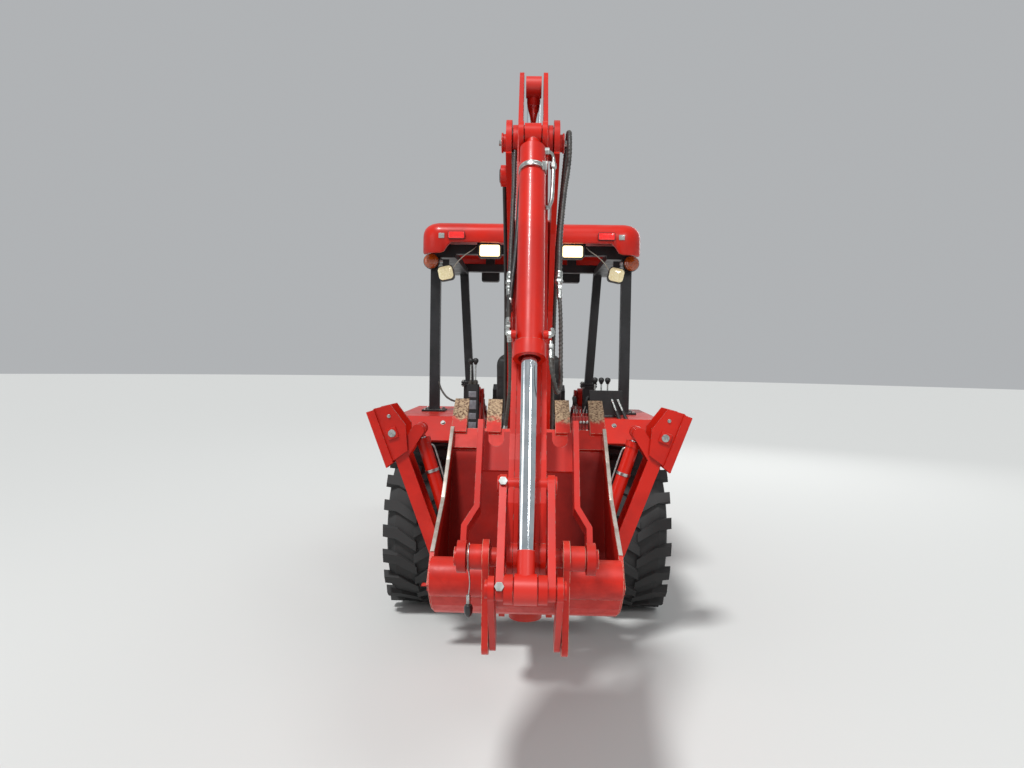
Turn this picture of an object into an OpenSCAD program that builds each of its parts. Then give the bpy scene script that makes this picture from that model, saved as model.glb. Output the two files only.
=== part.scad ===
// Compact backhoe loader, parked: loader bucket low, backhoe folded behind, stabilizers raised.
// Millimetres. X right, Y forward, Z up. The floor is Z = 0.
// Side profiles are lists of [y, z] measured from the rear axle's place on the floor.

/* [Wheels] */
// Distance from the rear axle to the front axle
wheelbase = 1895; // [1600:5:2300]
// Outer diameter of a rear tyre over its lugs
rear_tyre_d = 1045; // [960:5:1100]
// Width of a rear tyre
rear_tyre_w = 385; // [320:5:400]
// Distance between the rear tyres' middles
rear_track = 1330; // [1330:5:1450]
// Rim diameter of a rear wheel
rear_rim_d = 500; // [440:5:560]
// Outer diameter of a front tyre over its lugs
front_tyre_d = 690; // [640:5:700]
// Width of a front tyre
front_tyre_w = 265; // [220:5:270]
// Distance between the front tyres' middles
front_track = 1310; // [1310:5:1400]
// Rim diameter of a front wheel
front_rim_d = 385; // [340:5:420]
// Height of a tyre's lugs
lug_h = 26; // [16:1:34]
// Number of lugs on each half of a rear tyre
rear_lugs = 20; // [16:1:24]
// Number of lugs on each half of a front tyre
front_lugs = 16; // [14:1:20]

/* [Chassis] */
// Distance from the middle to a frame rail's outer face
rail_x = 238; // [220:1:245]
// Thickness of frame plates
plate_t = 16; // [10:1:20]
// Height of the frame rails' lower edge
rail_z = 480; // [460:5:520]
// Depth of the frame rails
rail_h = 220; // [180:5:240]
// Distance from a front tyre's middle in to its kingpin
kingpin_in = 155; // [150:5:175]
// Distance from the front axle to the bolster at the rails' front end
nose = 505; // [480:5:530]
// Radius of a kingpin
kingpin_r = 20; // [14:1:24]

/* [Operator station] */
// Height of the floor plate
floor_z = 790; // [770:5:820]
// Height of the fender decks
fender_z = 1250; // [1200:5:1280]
// Thickness of the sheet parts
sheet_t = 8; // [5:1:10]
// Distance from the middle to a fender's outer edge
fender_x = 800; // [760:5:840]
// Distance between the rear roof posts
post_track = 1250; // [1180:5:1280]
// Side of a square roof post
post_w = 64; // [50:1:70]
// Width of the canopy
canopy_w = 1380; // [1340:5:1440]
// Length of the canopy
canopy_l = 1500; // [1400:10:1560]
// Height of the canopy's underside
canopy_z = 2350; // [2320:5:2380]
// Thickness of the canopy
canopy_t = 115; // [80:5:130]
// Width of the seat
seat_w = 480; // [420:5:520]

/* [Hood] */
// Width of the hood
hood_w = 620; // [560:5:640]
// Height of the hood's top
hood_z = 1340; // [1300:5:1360]
// Length of the hood
hood_l = 1120; // [1080:5:1130]

/* [Loader] */
// Distance from the middle to a loader arm's middle
arm_x = 430; // [420:1:440]
// Thickness of a loader arm
arm_t = 60; // [40:1:62]
// Width of the loader bucket
loader_bucket_w = 1730; // [1600:5:1800]
// Radius of the loader's pins
loader_pin_r = 19; // [14:1:24]
// Outer radius of a loader lift barrel
lift_barrel_r = 36; // [30:1:37]
// Radius of a loader cylinder rod
lift_rod_r = 20; // [14:1:22]

/* [Backhoe] */
// Distance from the boom's foot pin to its head pin is set by these two places
boom_head_y = -2200; // [-2240:5:-2160]
// Height of the boom's head pin
boom_head_z = 2355; // [2320:5:2390]
// Distance from the head pin to the bucket pin along the dipper
dipper_l = 1430; // [1400:5:1450]
// Lean of the dipper from upright
dipper_lean = 27; // [25:0.5:29]
// Width of the dipper's box
dipper_w = 102; // [92:1:104]
// Width of the backhoe bucket at its lip
hoe_bucket_w = 610; // [460:5:620]
// Radius of the backhoe's main pins
hoe_pin_r = 25; // [18:1:27]
// Outer radius of the bucket cylinder's barrel
hoe_barrel_r = 41; // [34:1:43]
// Radius of a backhoe cylinder rod
hoe_rod_r = 22.5; // [16:0.5:24]

/* [Stabilizers] */
// Distance from the middle to a stabilizer's foot pin
stab_foot_x = 434; // [430:1:450]
// Height of a stabilizer's foot pin
stab_foot_z = 420; // [400:1:440]
// Length of a stabilizer arm between its pins
stab_arm_l = 832; // [800:1:850]
// Lean of a raised stabilizer arm from upright
stab_lean = 20.5; // [18:0.5:21]
// Outer radius of a stabilizer barrel
stab_barrel_r = 36; // [30:1:38]

/* [Hidden] */
$fn = 48;

// Paints
machine_red = "#D8322A";
matt_black = "#1B1B1C";
tyre_black = "#242424";
chrome_rod = "#C9D2D6";
steel_grey = "#8C9092";

// Clearances
run = 0.3;       // round pins in their bores
side_gap = 3;    // beside an eye, a link or a hub
eps = 0.01;

// The rear axle lies behind the origin, so that the origin is under the middle of the machine
rear_reach = 3006;
front_reach = 3850;
rear_axle_y = -(front_reach - rear_reach) / 2;
module from_axle() { translate([0, rear_axle_y, 0]) children(); }

// Helpers for side profiles: [y, z] in the plane, X across
function polar(c, r, a) = [c[0] + r * cos(a), c[1] + r * sin(a)];
function dir(a, b) = atan2(b[1] - a[1], b[0] - a[0]);
function dist(a, b) = norm(b - a);
function arc(c, r, a0, a1, n = 12) = [for (i = [0 : n]) polar(c, r, a0 + (a1 - a0) * i / n)];

module side(x, t) { translate([x - t / 2, 0, 0]) rotate([90, 0, 90]) linear_extrude(t) children(); }
module sides(x, t) { for (s = [-1, 1]) side(s * x, t) children(); }
module at(p) { translate([p[0], p[1]]) children(); }
module disc_at(p, r) { translate([p[0], p[1]]) circle(r); }
// A bar of width w between two places, with round eyes a little wider than the bar
eye_swell = 0.6;
module bar(a, b, w) {
    disc_at(a, w / 2 + eye_swell);
    disc_at(b, w / 2 + eye_swell);
    at(a) rotate(dir(a, b)) translate([0, -w / 2]) square([dist(a, b), w]);
}
// Round bar across X at a place of the side profile
module across(p, r, w, x = 0) { side(x, w) disc_at(p, r); }
// Round bar in the side plane from a to b
module along(a, b, r, x = 0, from = 0, to = 0) {
    l = to > 0 ? to : dist(a, b);
    translate([x, a[0], a[1]]) rotate([dir(a, b) - 90, 0, 0]) translate([0, 0, from]) cylinder(r = r, h = l - from);
}
// A bent sheet of thickness t along a list of places, mitred at its bends
function unit(v) = v / norm(v);
function left_of(v) = [-v[1], v[0]];
function leg(pts, i) = left_of(unit(pts[i + 1] - pts[i]));
function bend(pts, i) = i == 0 ? leg(pts, 0) : i == len(pts) - 1 ? leg(pts, i - 1)
    : let (m = unit(leg(pts, i - 1) + leg(pts, i))) m / (m * leg(pts, i));
module sheet_along(pts, t) {
    last = len(pts) - 1;
    polygon(concat(
        [for (i = [0 : last]) pts[i] + t / 2 * bend(pts, i)],
        [for (i = [last : -1 : 0]) pts[i] - t / 2 * bend(pts, i)]
    ));
}

// Places of the wheels
rear_r = rear_tyre_d / 2;
front_r = front_tyre_d / 2;
rear_hub = [0, rear_r];
kingpin_x = front_track / 2 - kingpin_in;
hub_r = 60;
spindle_r = 34;

// Places of the loader
loader_pivot = [1150, 1300];
loader_knee = [2330, 880];
loader_toe = [2985, 330];
knee_dir = dir(loader_knee, loader_toe);
cross_tube = [2560, 705];
lift_foot = [1170, 620];
lift_eye = [2040, 900];
tilt_foot = [2330, 1050];
tilt_eye = [2975, 570];
post_gap = arm_t / 2 + 12;
ear_plate = 14;
bucket_lip = [front_reach, 70];

// Places of the backhoe, folded for travel
swing_y = -1270;
boom_foot = [-1445, 600];
boom_head = [boom_head_y, boom_head_z];
boom_lift_foot = [-1330, 790];
boom_lift_eye = [-1435, 1500];
crowd_foot = [-1560, 1570];
along_dipper = [-sin(dipper_lean), -cos(dipper_lean)];
out_dipper = [-cos(dipper_lean), sin(dipper_lean)];
// A place on the dipper: u down it from its head pin, v towards the bucket cylinder
function on_dipper(u, v) = boom_head + u * along_dipper + v * out_dipper;
bucket_pin = on_dipper(dipper_l, 0);
crowd_eye = on_dipper(-267, 0);
curl_foot = on_dipper(100, 140);
guide_pivot = on_dipper(dipper_l - 185, 40);
curl_eye = on_dipper(dipper_l + 95, 85);
link_eye = bucket_pin + [19.6, -224];
guide_x = dipper_w / 2 + side_gap + 10;
guide_t = 20;
link_x = guide_x + guide_t / 2 + side_gap + 8;
link_t = 16;
ear_x = link_x + link_t / 2 + side_gap + 9;
ear_t = 18;

// The backhoe bucket: its mouth runs from the rolled edge to the lip
roll_edge = [-2520, 925];
mouth_dir = 34;
function in_bucket(s, d) = roll_edge + s * [cos(mouth_dir), sin(mouth_dir)] + d * [sin(mouth_dir), -cos(mouth_dir)];

// Rounded block: a box with rounded upright edges
module round_box(x, y, z, r) {
    linear_extrude(z) {
        square([x - 2 * r, y], center = true);
        square([x, y - 2 * r], center = true);
        for (i = [-1, 1], j = [-1, 1]) translate([i * (x / 2 - r), j * (y / 2 - r)]) circle(r);
    }
}

// A lug of the tread from above: [place along the tread as a share of the pitch, place across as a share of the half width]
lug_half = 0.46;
lug_plan = [[-lug_half, -0.04], [-0.12, -0.04], [0.40, 0.56], [lug_half, 1.03], [0.08, 1.03], [0, 0.62]];
lug_foot = 50;
lug_draft = 0.95;
// Tyre about X at the origin: a carcass with round shoulders, and slanted lugs that reach over its edges
module tyre(d, w, rim, count) {
    crown = d / 2 - lug_h;
    pitch = PI * d / count;
    // The lugs' flat tops, with their tips on the tyre's diameter
    top = sqrt(pow(d / 2, 2) - pow(lug_half * lug_draft * pitch, 2));
    rotate([0, 90, 0]) rotate_extrude()
        polygon([
            [rim / 2, -w * 0.36], [rim / 2 + 14, -w * 0.42], [crown - w * 0.26, -w * 0.49], [crown - w * 0.08, -w * 0.44],
            [crown, -w * 0.32], [crown, w * 0.32],
            [crown - w * 0.08, w * 0.44], [crown - w * 0.26, w * 0.49], [rim / 2 + 14, w * 0.42], [rim / 2, w * 0.36]
        ]);
    for (i = [0 : count - 1], s = [-1, 1])
        rotate([(i + (s > 0 ? 0.5 : 0)) * 360 / count, 0, 0]) translate([0, 0, top - lug_foot])
            linear_extrude(lug_foot, scale = lug_draft)
                polygon([for (p = lug_plan) [s * p[1] * w / 2 / lug_draft * 0.97, p[0] * pitch]]);
}

// Rim about X, its dish towards the machine at -X; the hub bore is on the axis
module rim(rim_d, w, bore, hub, dish, length) {
    r = rim_d / 2 - run;
    rotate([0, 90, 0]) rotate_extrude($fn = 72)
        polygon([
            [bore, dish - length], [hub, dish - length], [hub, dish], [r * 0.55, dish + 10], [r - 40, dish - 6],
            [r - 22, dish - 26], [r - 26, -w * 0.36 + 10], [r - 14, -w * 0.36 - 6], [r, -w * 0.36 - 6],
            [r, w * 0.36 + 6], [r - 14, w * 0.36 + 6], [r - 26, w * 0.36 - 10], [r - 30, dish + 12],
            [r - 46, dish + 14], [r * 0.55, dish + 24], [hub, dish + 14], [hub, dish + 60], [hub - 14, dish + 70],
            [0, dish + 70], [0, dish + 40], [bore, dish + 40]
        ]);
}

// Cylinder parts shared by every ram: barrel with a foot eye, and rod with an end eye
module barrel(a, b, r, length, eye_w, pin_r, neck, x = 0) {
    difference() {
        union() {
            along(a, b, r, x, from = neck, to = length);
            along(a, b, r + 6, x, from = length - 46, to = length);
            side(x, eye_w) disc_at(a, pin_r + 17);
            along(a, b, min(eye_w / 2, r) - 2, x, to = neck + 1);
        }
        across(a, pin_r + run, eye_w + 2, x);
        along(a, b, rod_bore(r), x, from = neck + r, to = length + 1);
    }
}
function rod_bore(r) = r * 0.78;
module rod(a, b, r, start, eye_w, eye_r, x = 0) {
    l = dist(a, b);
    along(a, b, r, x, from = start, to = l);
    side(x, eye_w) disc_at(b, eye_r);
}

bolster_t = 40;
tie_down_r = 16;
rail_in = rail_x - plate_t;
axle_beam_r = 92;
saddle_y = 75 + side_gap + 12;
tie_hole = [wheelbase + nose + bolster_t + 24, rail_z - 28];
tie_lug_x = 240;
tie_lug_t = 20;
module chassis() color(matt_black) from_axle() {
    // Frame rails from the backhoe frame to the front bolster, bored for the rear axle
    difference() {
        sides(rail_x - plate_t / 2, plate_t)
            translate([-730, rail_z]) square([730 + wheelbase + nose, rail_h]);
        across(rear_hub, axle_beam_r + run, 2 * rail_x + 2);
    }
    // Cross members between the rails
    for (y = [-500, 1080, wheelbase + nose - 70]) translate([-rail_in, y, rail_z]) cube([2 * rail_in, 70, rail_h - 40]);
    // Saddle and pin that carry the front axle
    for (y = [wheelbase - saddle_y, wheelbase + saddle_y])
        translate([0, y + 12, 0]) rotate([90, 0, 0]) linear_extrude(24)
            polygon([
                [-rail_in - 1, rail_z + 110], [rail_in + 1, rail_z + 110], [rail_in + 1, rail_z + 10],
                [80, front_r - 40], [-80, front_r - 40], [-rail_in - 1, rail_z + 10]
            ]);
    translate([0, wheelbase - saddle_y - 12, front_r]) rotate([-90, 0, 0]) cylinder(r = 28, h = 2 * saddle_y + 24);
    // Front bolster with a tie-down lug each side
    translate([-270, wheelbase + nose, rail_z - 60]) cube([540, bolster_t, rail_h + 120]);
    sides(tie_lug_x, tie_lug_t) difference() {
        union() {
            disc_at(tie_hole, 34);
            translate(tie_hole - [26, 33]) square([26, 66]);
        }
        disc_at(tie_hole, tie_down_r);
    }
}

// Gearbox between the rails, with the rear axle's housings and hubs
module rear_axle() color(matt_black) from_axle() {
    difference() {
        union() {
            translate([-rail_in, -150, rail_z - 40]) cube([2 * rail_in, 900, 230]);
            translate([-rail_in + 30, 90, rail_z + 190]) cube([2 * rail_in - 60, 560, 60]);
        }
        // Ribs cast in the gearbox's sides
        for (s = [-1, 1], y = [230 : 130 : 620]) translate([s * rail_in - 9, y, rail_z - 41]) cube([18, 90, 110]);
    }
    across(rear_hub, 150, 300);
    across(rear_hub, axle_beam_r, 2 * (rear_track / 2 - rear_tyre_w / 2) - 20);
    for (s = [-1, 1]) across(rear_hub, 118, 26, s * (rail_x + 14));
    across(rear_hub, hub_r, 2 * (rear_track / 2 - 40));
}

// Loader posts: a pair of plates each side, on a cross beam under the rails
post_beam = 78;
module loader_posts() color(machine_red) from_axle() {
    translate([-arm_x - post_gap - plate_t, 1060, rail_z - post_beam]) cube([2 * (arm_x + post_gap + plate_t), 220, post_beam]);
    for (s = [-1, 1], k = [-1, 1]) side(s * arm_x + k * (post_gap + plate_t / 2), plate_t)
        polygon([
            [1060, rail_z - post_beam], [1285, rail_z - post_beam], [1285, 700], [1215, 1250],
            [1215, 1340], [1195, 1360], [1110, 1360], [1090, 1340], [1060, 1000]
        ]);
    for (s = [-1, 1]) {
        across(loader_pivot, loader_pin_r, 2 * (post_gap + plate_t + 6), s * arm_x);
        across(lift_foot, loader_pin_r, 2 * (post_gap + plate_t + 6), s * arm_x);
        // Web between the plates
        translate([s * arm_x - post_gap, 1062, rail_z]) cube([2 * post_gap, 14, 420]);
    }
}

module engine_block() color(steel_grey) from_axle()
    translate([-rail_x + plate_t + 20, wheelbase - 565, rail_z + 114]) cube([2 * (rail_x - plate_t - 20), 700, 500]);

module front_axle() color(matt_black) from_axle() translate([0, wheelbase, front_r]) {
    fork = 62;
    difference() {
        union() {
            translate([-kingpin_x + 120, -55, -50]) cube([2 * kingpin_x - 240, 110, 100]);
            rotate([90, 0, 0]) cylinder(r = 70, h = 150, center = true);
            for (s = [-1, 1], k = [-1, 1]) translate([s * (kingpin_x - 30), 0, k * (fork + 12)])
                cube([130, 90, 24], center = true);
            for (s = [-1, 1]) translate([s * (kingpin_x - 105), 0, 0]) cube([70, 70, 2 * fork + 48], center = true);
        }
        rotate([90, 0, 0]) cylinder(r = 28 + run, h = 160, center = true);
    }
    for (s = [-1, 1]) translate([s * kingpin_x, 0, 0]) cylinder(r = kingpin_r, h = 2 * fork + 60, center = true);
}

tie_y = -135;
module tie_rod() color(steel_grey) from_axle() translate([0, wheelbase, front_r]) {
    for (s = [-1, 1]) translate([s * (kingpin_x + 5), tie_y, -64]) cylinder(r = 20, h = 25);
    translate([-kingpin_x - 5, tie_y, -52]) rotate([0, 90, 0]) cylinder(r = 10, h = 2 * kingpin_x + 10);
}

module knuckle(s) from_axle() translate([s * kingpin_x, wheelbase, front_r]) {
    difference() {
        union() {
            cylinder(r = 46, h = 2 * (62 - side_gap), center = true);
            translate([s * 40, 0, 0]) rotate([0, s * 90, 0]) cylinder(r = 48, h = 30);
            translate([s * 40, 0, 0]) rotate([0, s * 90, 0]) cylinder(r = spindle_r, h = front_track / 2 - kingpin_x - 30);
            translate([s * 5 - 17, tie_y - 20, -36]) cube([34, -tie_y + 20, 22]);
        }
        cylinder(r = kingpin_r + run, h = 140, center = true);
    }
}
module knuckle_left() color(matt_black) knuckle(-1);
module knuckle_right() color(matt_black) knuckle(1);

module front_tyre(s) color(tyre_black) from_axle()
    translate([s * front_track / 2, wheelbase, front_r]) tyre(front_tyre_d, front_tyre_w, front_rim_d, front_lugs);
module front_rim(s) color(machine_red) from_axle()
    translate([s * front_track / 2, wheelbase, front_r]) scale([s, 1, 1])
        rim(front_rim_d, front_tyre_w, spindle_r + run, 62, -10, 60);
module rear_tyre(s) color(tyre_black) from_axle()
    translate([s * rear_track / 2, 0, rear_r]) tyre(rear_tyre_d, rear_tyre_w, rear_rim_d, rear_lugs);
module rear_rim(s) color(machine_red) from_axle()
    translate([s * rear_track / 2, 0, rear_r]) scale([s, 1, 1])
        rim(rear_rim_d, rear_tyre_w, hub_r + run, 92, -60, 100);
module front_tyre_left() front_tyre(-1);
module front_tyre_right() front_tyre(1);
module rear_tyre_left() rear_tyre(-1);
module rear_tyre_right() rear_tyre(1);
module front_rim_left() front_rim(-1);
module front_rim_right() front_rim(1);
module rear_rim_left() rear_rim(-1);
module rear_rim_right() rear_rim(1);

// Fenders with their inner walls, and the floor between them
wall_x = rear_track / 2 - rear_tyre_w / 2 - 22;
deck_top = floor_z + sheet_t + run;
fender_line = [[-560, 1120], [-430, fender_z], [470, fender_z], [640, 1080], [640, deck_top]];
fender_lip = 34;
module fenders() color(machine_red) from_axle() for (s = [-1, 1]) {
    side(s * (wall_x + fender_x) / 2, fender_x - wall_x) sheet_along(fender_line, sheet_t);
    // Inner wall down to the floor, and the turned-down outer lip
    side(s * wall_x, sheet_t) polygon([
        [-560, 1120], [-430, fender_z], [470, fender_z], [640, 1080], [640, deck_top], [-300, deck_top], [-480, 1000]
    ]);
    side(s * (fender_x - sheet_t / 2), sheet_t) polygon(concat(fender_line, [
        [640 - fender_lip, deck_top], [640 - fender_lip, 1094], [470 - fender_lip / 2, fender_z - fender_lip],
        [-430 + fender_lip / 2, fender_z - fender_lip], [-536, 1096]
    ]));
}
module platform() color(matt_black) from_axle() {
    translate([-wall_x - sheet_t, -300, floor_z]) cube([2 * (wall_x + sheet_t), 1300, sheet_t]);
    // Step plates ahead of the fenders, on bearers
    translate([-560, 652, floor_z]) cube([1120, 348, sheet_t]);
    for (y = [700, 960]) translate([-460, y, floor_z - 40 + eps]) cube([920, 20, 40]);
    // Rear wall behind the seat
    translate([-wall_x + sheet_t, -300, floor_z]) cube([2 * (wall_x - sheet_t), sheet_t, 330]);
    // Feet down to the frame rails
    for (s = [-1, 1], y = [-200, 800]) translate([s * (rail_x - plate_t / 2) - 20, y, rail_z + rail_h])
        cube([40, 80, floor_z - rail_z - rail_h]);
}

module side_tanks() color(machine_red) from_axle() {
    for (s = [-1, 1]) translate([s * 550, 810, 420]) {
        round_box(150, 330, floor_z - 430, 30);
        translate([s * 120, 0, -20]) cube([120, 300, 12], center = true);
        for (y = [-130, 130]) translate([s * 120 - 54, y - 6, -20]) cube([12, 12, 260]);
        for (y = [-130, 130]) translate([s * 65, y, 225]) cube([110, 12, 12], center = true);
    }
}

module cowl() color(matt_black) from_axle() {
    // Lugs and pins of the hood's hinges
    for (s = [-1, 1]) {
        for (k = [-1, 1]) side(s * hinge_x + k * (hinge_w / 2 + side_gap + 8), 16)
            translate([1279, hood_hinge[1] - 6]) square([hood_hinge[0] + 2 - 1279, 10]);
        across(hood_hinge, hinge_pin_r, hinge_w + 2 * side_gap + 32, s * hinge_x);
    }
    translate([-290, 1000, floor_z + sheet_t]) cube([580, 50, 480]);
    translate([-290, 1000, floor_z + sheet_t + 480]) cube([580, 280, 60]);
    side(0, 580) polygon([[1000, 1330], [1280, 1330], [1280, 1375], [1120, 1400], [1000, 1360]]);
    along([1040, 1330], [850, 1480], 26);
}

column_top = [850, 1480];
module steering_wheel() color(matt_black) from_axle()
    translate([0, column_top[0], column_top[1]]) rotate([dir([1040, 1330], column_top) - 90, 0, 0]) translate([0, 0, 3]) {
        cylinder(r = 38, h = 34);
        translate([0, 0, 30]) rotate_extrude() translate([185, 0]) circle(14, $fn = 24);
        for (a = [90, 210, 330]) rotate(a) translate([0, -12, 14]) cube([185, 24, 10]);
    }

seat_pan_z = 1150;
seat_y = 330;
module seat_base() color(matt_black) from_axle() {
    translate([0, seat_y, deck_top]) cylinder(r = 150, h = 30);
    translate([0, seat_y, floor_z + sheet_t + 20]) cylinder(r = 60, h = 260);
    translate([0, seat_y, floor_z + sheet_t + 270]) round_box(360, 360, 40, 30);
}
module seat() color(matt_black) from_axle() {
    translate([0, seat_y + 10, floor_z + sheet_t + 310 + run]) round_box(seat_w, 440, 110, 60);
    translate([0, seat_y - 170, seat_pan_z + 110]) rotate([8, 0, 0]) round_box(seat_w, 90, 400, 40);
    translate([-60, seat_y - 200, seat_pan_z + 20]) cube([120, 40, 140]);
}

// Both consoles stand on the floor inside the fenders' walls
left_console_x = wall_x - 60.5;
console_x = wall_x - 75.5;
module control_console() color(matt_black) from_axle() {
    translate([-left_console_x, -240, deck_top]) cube([70, 120, 1440 - floor_z - sheet_t]);
    translate([console_x, -290, deck_top]) cube([60, 150, 480]);
    translate([console_x, -330, 1270]) cube([200, 230, 60]);
    translate([console_x, -330, 1330]) cube([200, 40, 90]);
}

lever_places = [
    [20 - left_console_x, -200, 1440], [50 - left_console_x, -200, 1440],
    for (x = [40, 80, 120]) [console_x + x, -220, 1330]
];
module levers() color(steel_grey) from_axle() {
    for (p = lever_places) translate(p + [0, 0, run]) {
        cylinder(r = 5, h = 150);
        translate([0, 0, 150]) sphere(r = 17, $fn = 24);
    }
}

// Roof posts: upright at the rear, leaning in at the front, with a frame under the canopy
front_post_top_x = 525;
front_post_foot_x = 470;
front_post_y = 930;
flange_z = 1410;
bracket_y = -post_w / 2 - 22;
module roof_posts() color(matt_black) from_axle() {
    for (s = [-1, 1]) {
        translate([s * post_track / 2 - post_w / 2, -post_w / 2, fender_z + sheet_t / 2 + run])
            cube([post_w, post_w, canopy_z - fender_z - sheet_t / 2 - 60]);
        translate([s * post_track / 2 - 75, -75, fender_z + sheet_t / 2 + run]) cube([150, 150, 12]);
        // Front post, leaning in towards its foot
        rotate([90, 0, 0]) translate([0, 0, -front_post_y - post_w / 2]) linear_extrude(post_w) polygon([
            [s * front_post_foot_x - post_w / 2, deck_top], [s * front_post_foot_x + post_w / 2, deck_top],
            [s * front_post_foot_x + post_w / 2, flange_z + 10], [s * front_post_top_x + post_w / 2, canopy_z - 60],
            [s * front_post_top_x - post_w / 2, canopy_z - 60], [s * front_post_foot_x - post_w / 2, flange_z + 10]
        ]);
        // Side rail of the roof frame
        translate([s * (front_post_top_x + post_track / 2) / 2, (front_post_y) / 2, canopy_z - 60])
            cube([160, front_post_y + post_w, 50], center = true);
        // Bracket of the head lamp and the signal lamp
        translate([s * (post_track / 2 - 30) - 60, bracket_y, canopy_z - 170]) cube([120, -post_w / 2 - bracket_y + eps, 70]);
        // Lower column with a bolted flange
        translate([s * front_post_foot_x - 44, front_post_y - 44, deck_top]) cube([88, 88, 600]);
        for (z = [flange_z - 9, flange_z + 9]) translate([s * front_post_foot_x - 62, front_post_y - 62, z - 7]) cube([124, 124, 14]);
        // Pads under the canopy
        for (y = [0, front_post_y]) translate([s * 320 - 35, y - 25, canopy_z - 1]) cube([70, 50, canopy_under - canopy_z + 1 - run]);
    }
    for (y = [-post_w / 2, front_post_y - post_w / 2])
        translate([-post_track / 2 - post_w / 2, y, canopy_z - 60 - run]) cube([post_track + post_w, post_w, 60]);
}

// Canopy: a moulded shell with round shoulders, open below, its rear corners drawn down towards the posts
canopy_rear = -260;
canopy_skin = 26;
canopy_round = 70;
canopy_drop = 95;
canopy_under = canopy_z + canopy_t - canopy_skin;
canopy_corner_l = 190;
tail_lamp_x = 465;
module canopy_outline(inset, low) {
    w = canopy_w / 2 - inset;
    top = canopy_z + canopy_t - inset;
    r = canopy_round - inset;
    polygon(concat(
        [[-w, low], [-w, top - r]], arc([-w + r, top - r], r, 180, 90, 6), arc([w - r, top - r], r, 90, 0, 6), [[w, low]]
    ));
}
module canopy() color(machine_red) from_axle() {
    difference() {
        translate([0, canopy_rear + canopy_l, 0]) rotate([90, 0, 0]) linear_extrude(canopy_l) canopy_outline(0, canopy_z - 20);
        translate([0, canopy_rear + canopy_l - canopy_skin - 10, 0]) rotate([90, 0, 0])
            linear_extrude(canopy_l - 2 * canopy_skin - 20) canopy_outline(canopy_skin, canopy_z - 21);
        // Bevelled shoulders at the rear and the front
        for (m = [[canopy_rear, 1], [canopy_rear + canopy_l, -1]]) side(0, canopy_w + 2) polygon([
            [m[0] - m[1], canopy_z + canopy_t - canopy_round], [m[0], canopy_z + canopy_t - canopy_round],
            [m[0] + m[1] * canopy_round * 0.25, canopy_z + canopy_t - canopy_round * 0.3],
            [m[0] + m[1] * canopy_round, canopy_z + canopy_t], [m[0] + m[1] * canopy_round, canopy_z + canopy_t + 1],
            [m[0] - m[1], canopy_z + canopy_t + 1]
        ]);
    }
    // Rear corners
    for (s = [-1, 1]) translate([0, canopy_rear + canopy_corner_l, 0]) scale([s, 1, 1]) rotate([90, 0, 0]) linear_extrude(canopy_corner_l - 1)
        polygon([
            [canopy_w / 2, canopy_z - 19], [canopy_w / 2 - 160, canopy_z - 20 - canopy_drop],
            [canopy_w / 2 - 182, canopy_z - 8 - canopy_drop], [canopy_w / 2 - 182, canopy_z + 30], [canopy_w / 2, canopy_z + 30]
        ]);
}

// Lamps: [x, y, z, width, height, depth], each a box with round corners that faces along Y
work_lamp = [142, 88, 62];
post_lamp = [104, 96, 58];
tail_lamp = [104, 48, 20];
signal_r = 50;
lamp_rows = [
    [260, canopy_rear + 70, canopy_z - 66, work_lamp], [330, canopy_rear + canopy_l - 80, canopy_z - 66, work_lamp]
];
module lamp_box(size, r = 18) {
    rotate([90, 0, 0]) linear_extrude(size[2], center = true) {
        square([size[0] - 2 * r, size[1]], center = true);
        square([size[0], size[1] - 2 * r], center = true);
        for (i = [-1, 1], j = [-1, 1]) translate([i * (size[0] / 2 - r), j * (size[1] / 2 - r)]) circle(r, $fn = 20);
    }
}
module lamps() color("#E8E2C8") from_axle() for (s = [-1, 1]) {
    // Work lamps on stems from the canopy's rear and front walls
    for (row = lamp_rows) {
        translate([s * row[0], row[1], row[2]]) lamp_box(row[3]);
        translate([s * row[0] - 8, row[1] - 8, row[2] + 30]) cube([16, 16, canopy_under - run - row[2] - 30]);
    }
    // Head lamp and round signal lamp on each rear post's bracket
    translate([s * (post_track / 2 - 76), bracket_y - run - post_lamp[2] / 2, canopy_z - 195]) rotate([0, s * 12, 0]) lamp_box(post_lamp, 26);
    translate([s * (post_track / 2 + 22), bracket_y - run, canopy_z - 118]) rotate([90, 0, 0]) {
        cylinder(r = signal_r, h = 34);
        translate([0, 0, 34]) scale([1, 1, 0.5]) sphere(r = signal_r - 4, $fn = 32);
    }
    // Tail lamps on the canopy's rear wall
    translate([s * tail_lamp_x, canopy_rear - run - tail_lamp[2] / 2, canopy_z + 20]) lamp_box(tail_lamp, 8);
}

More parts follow.
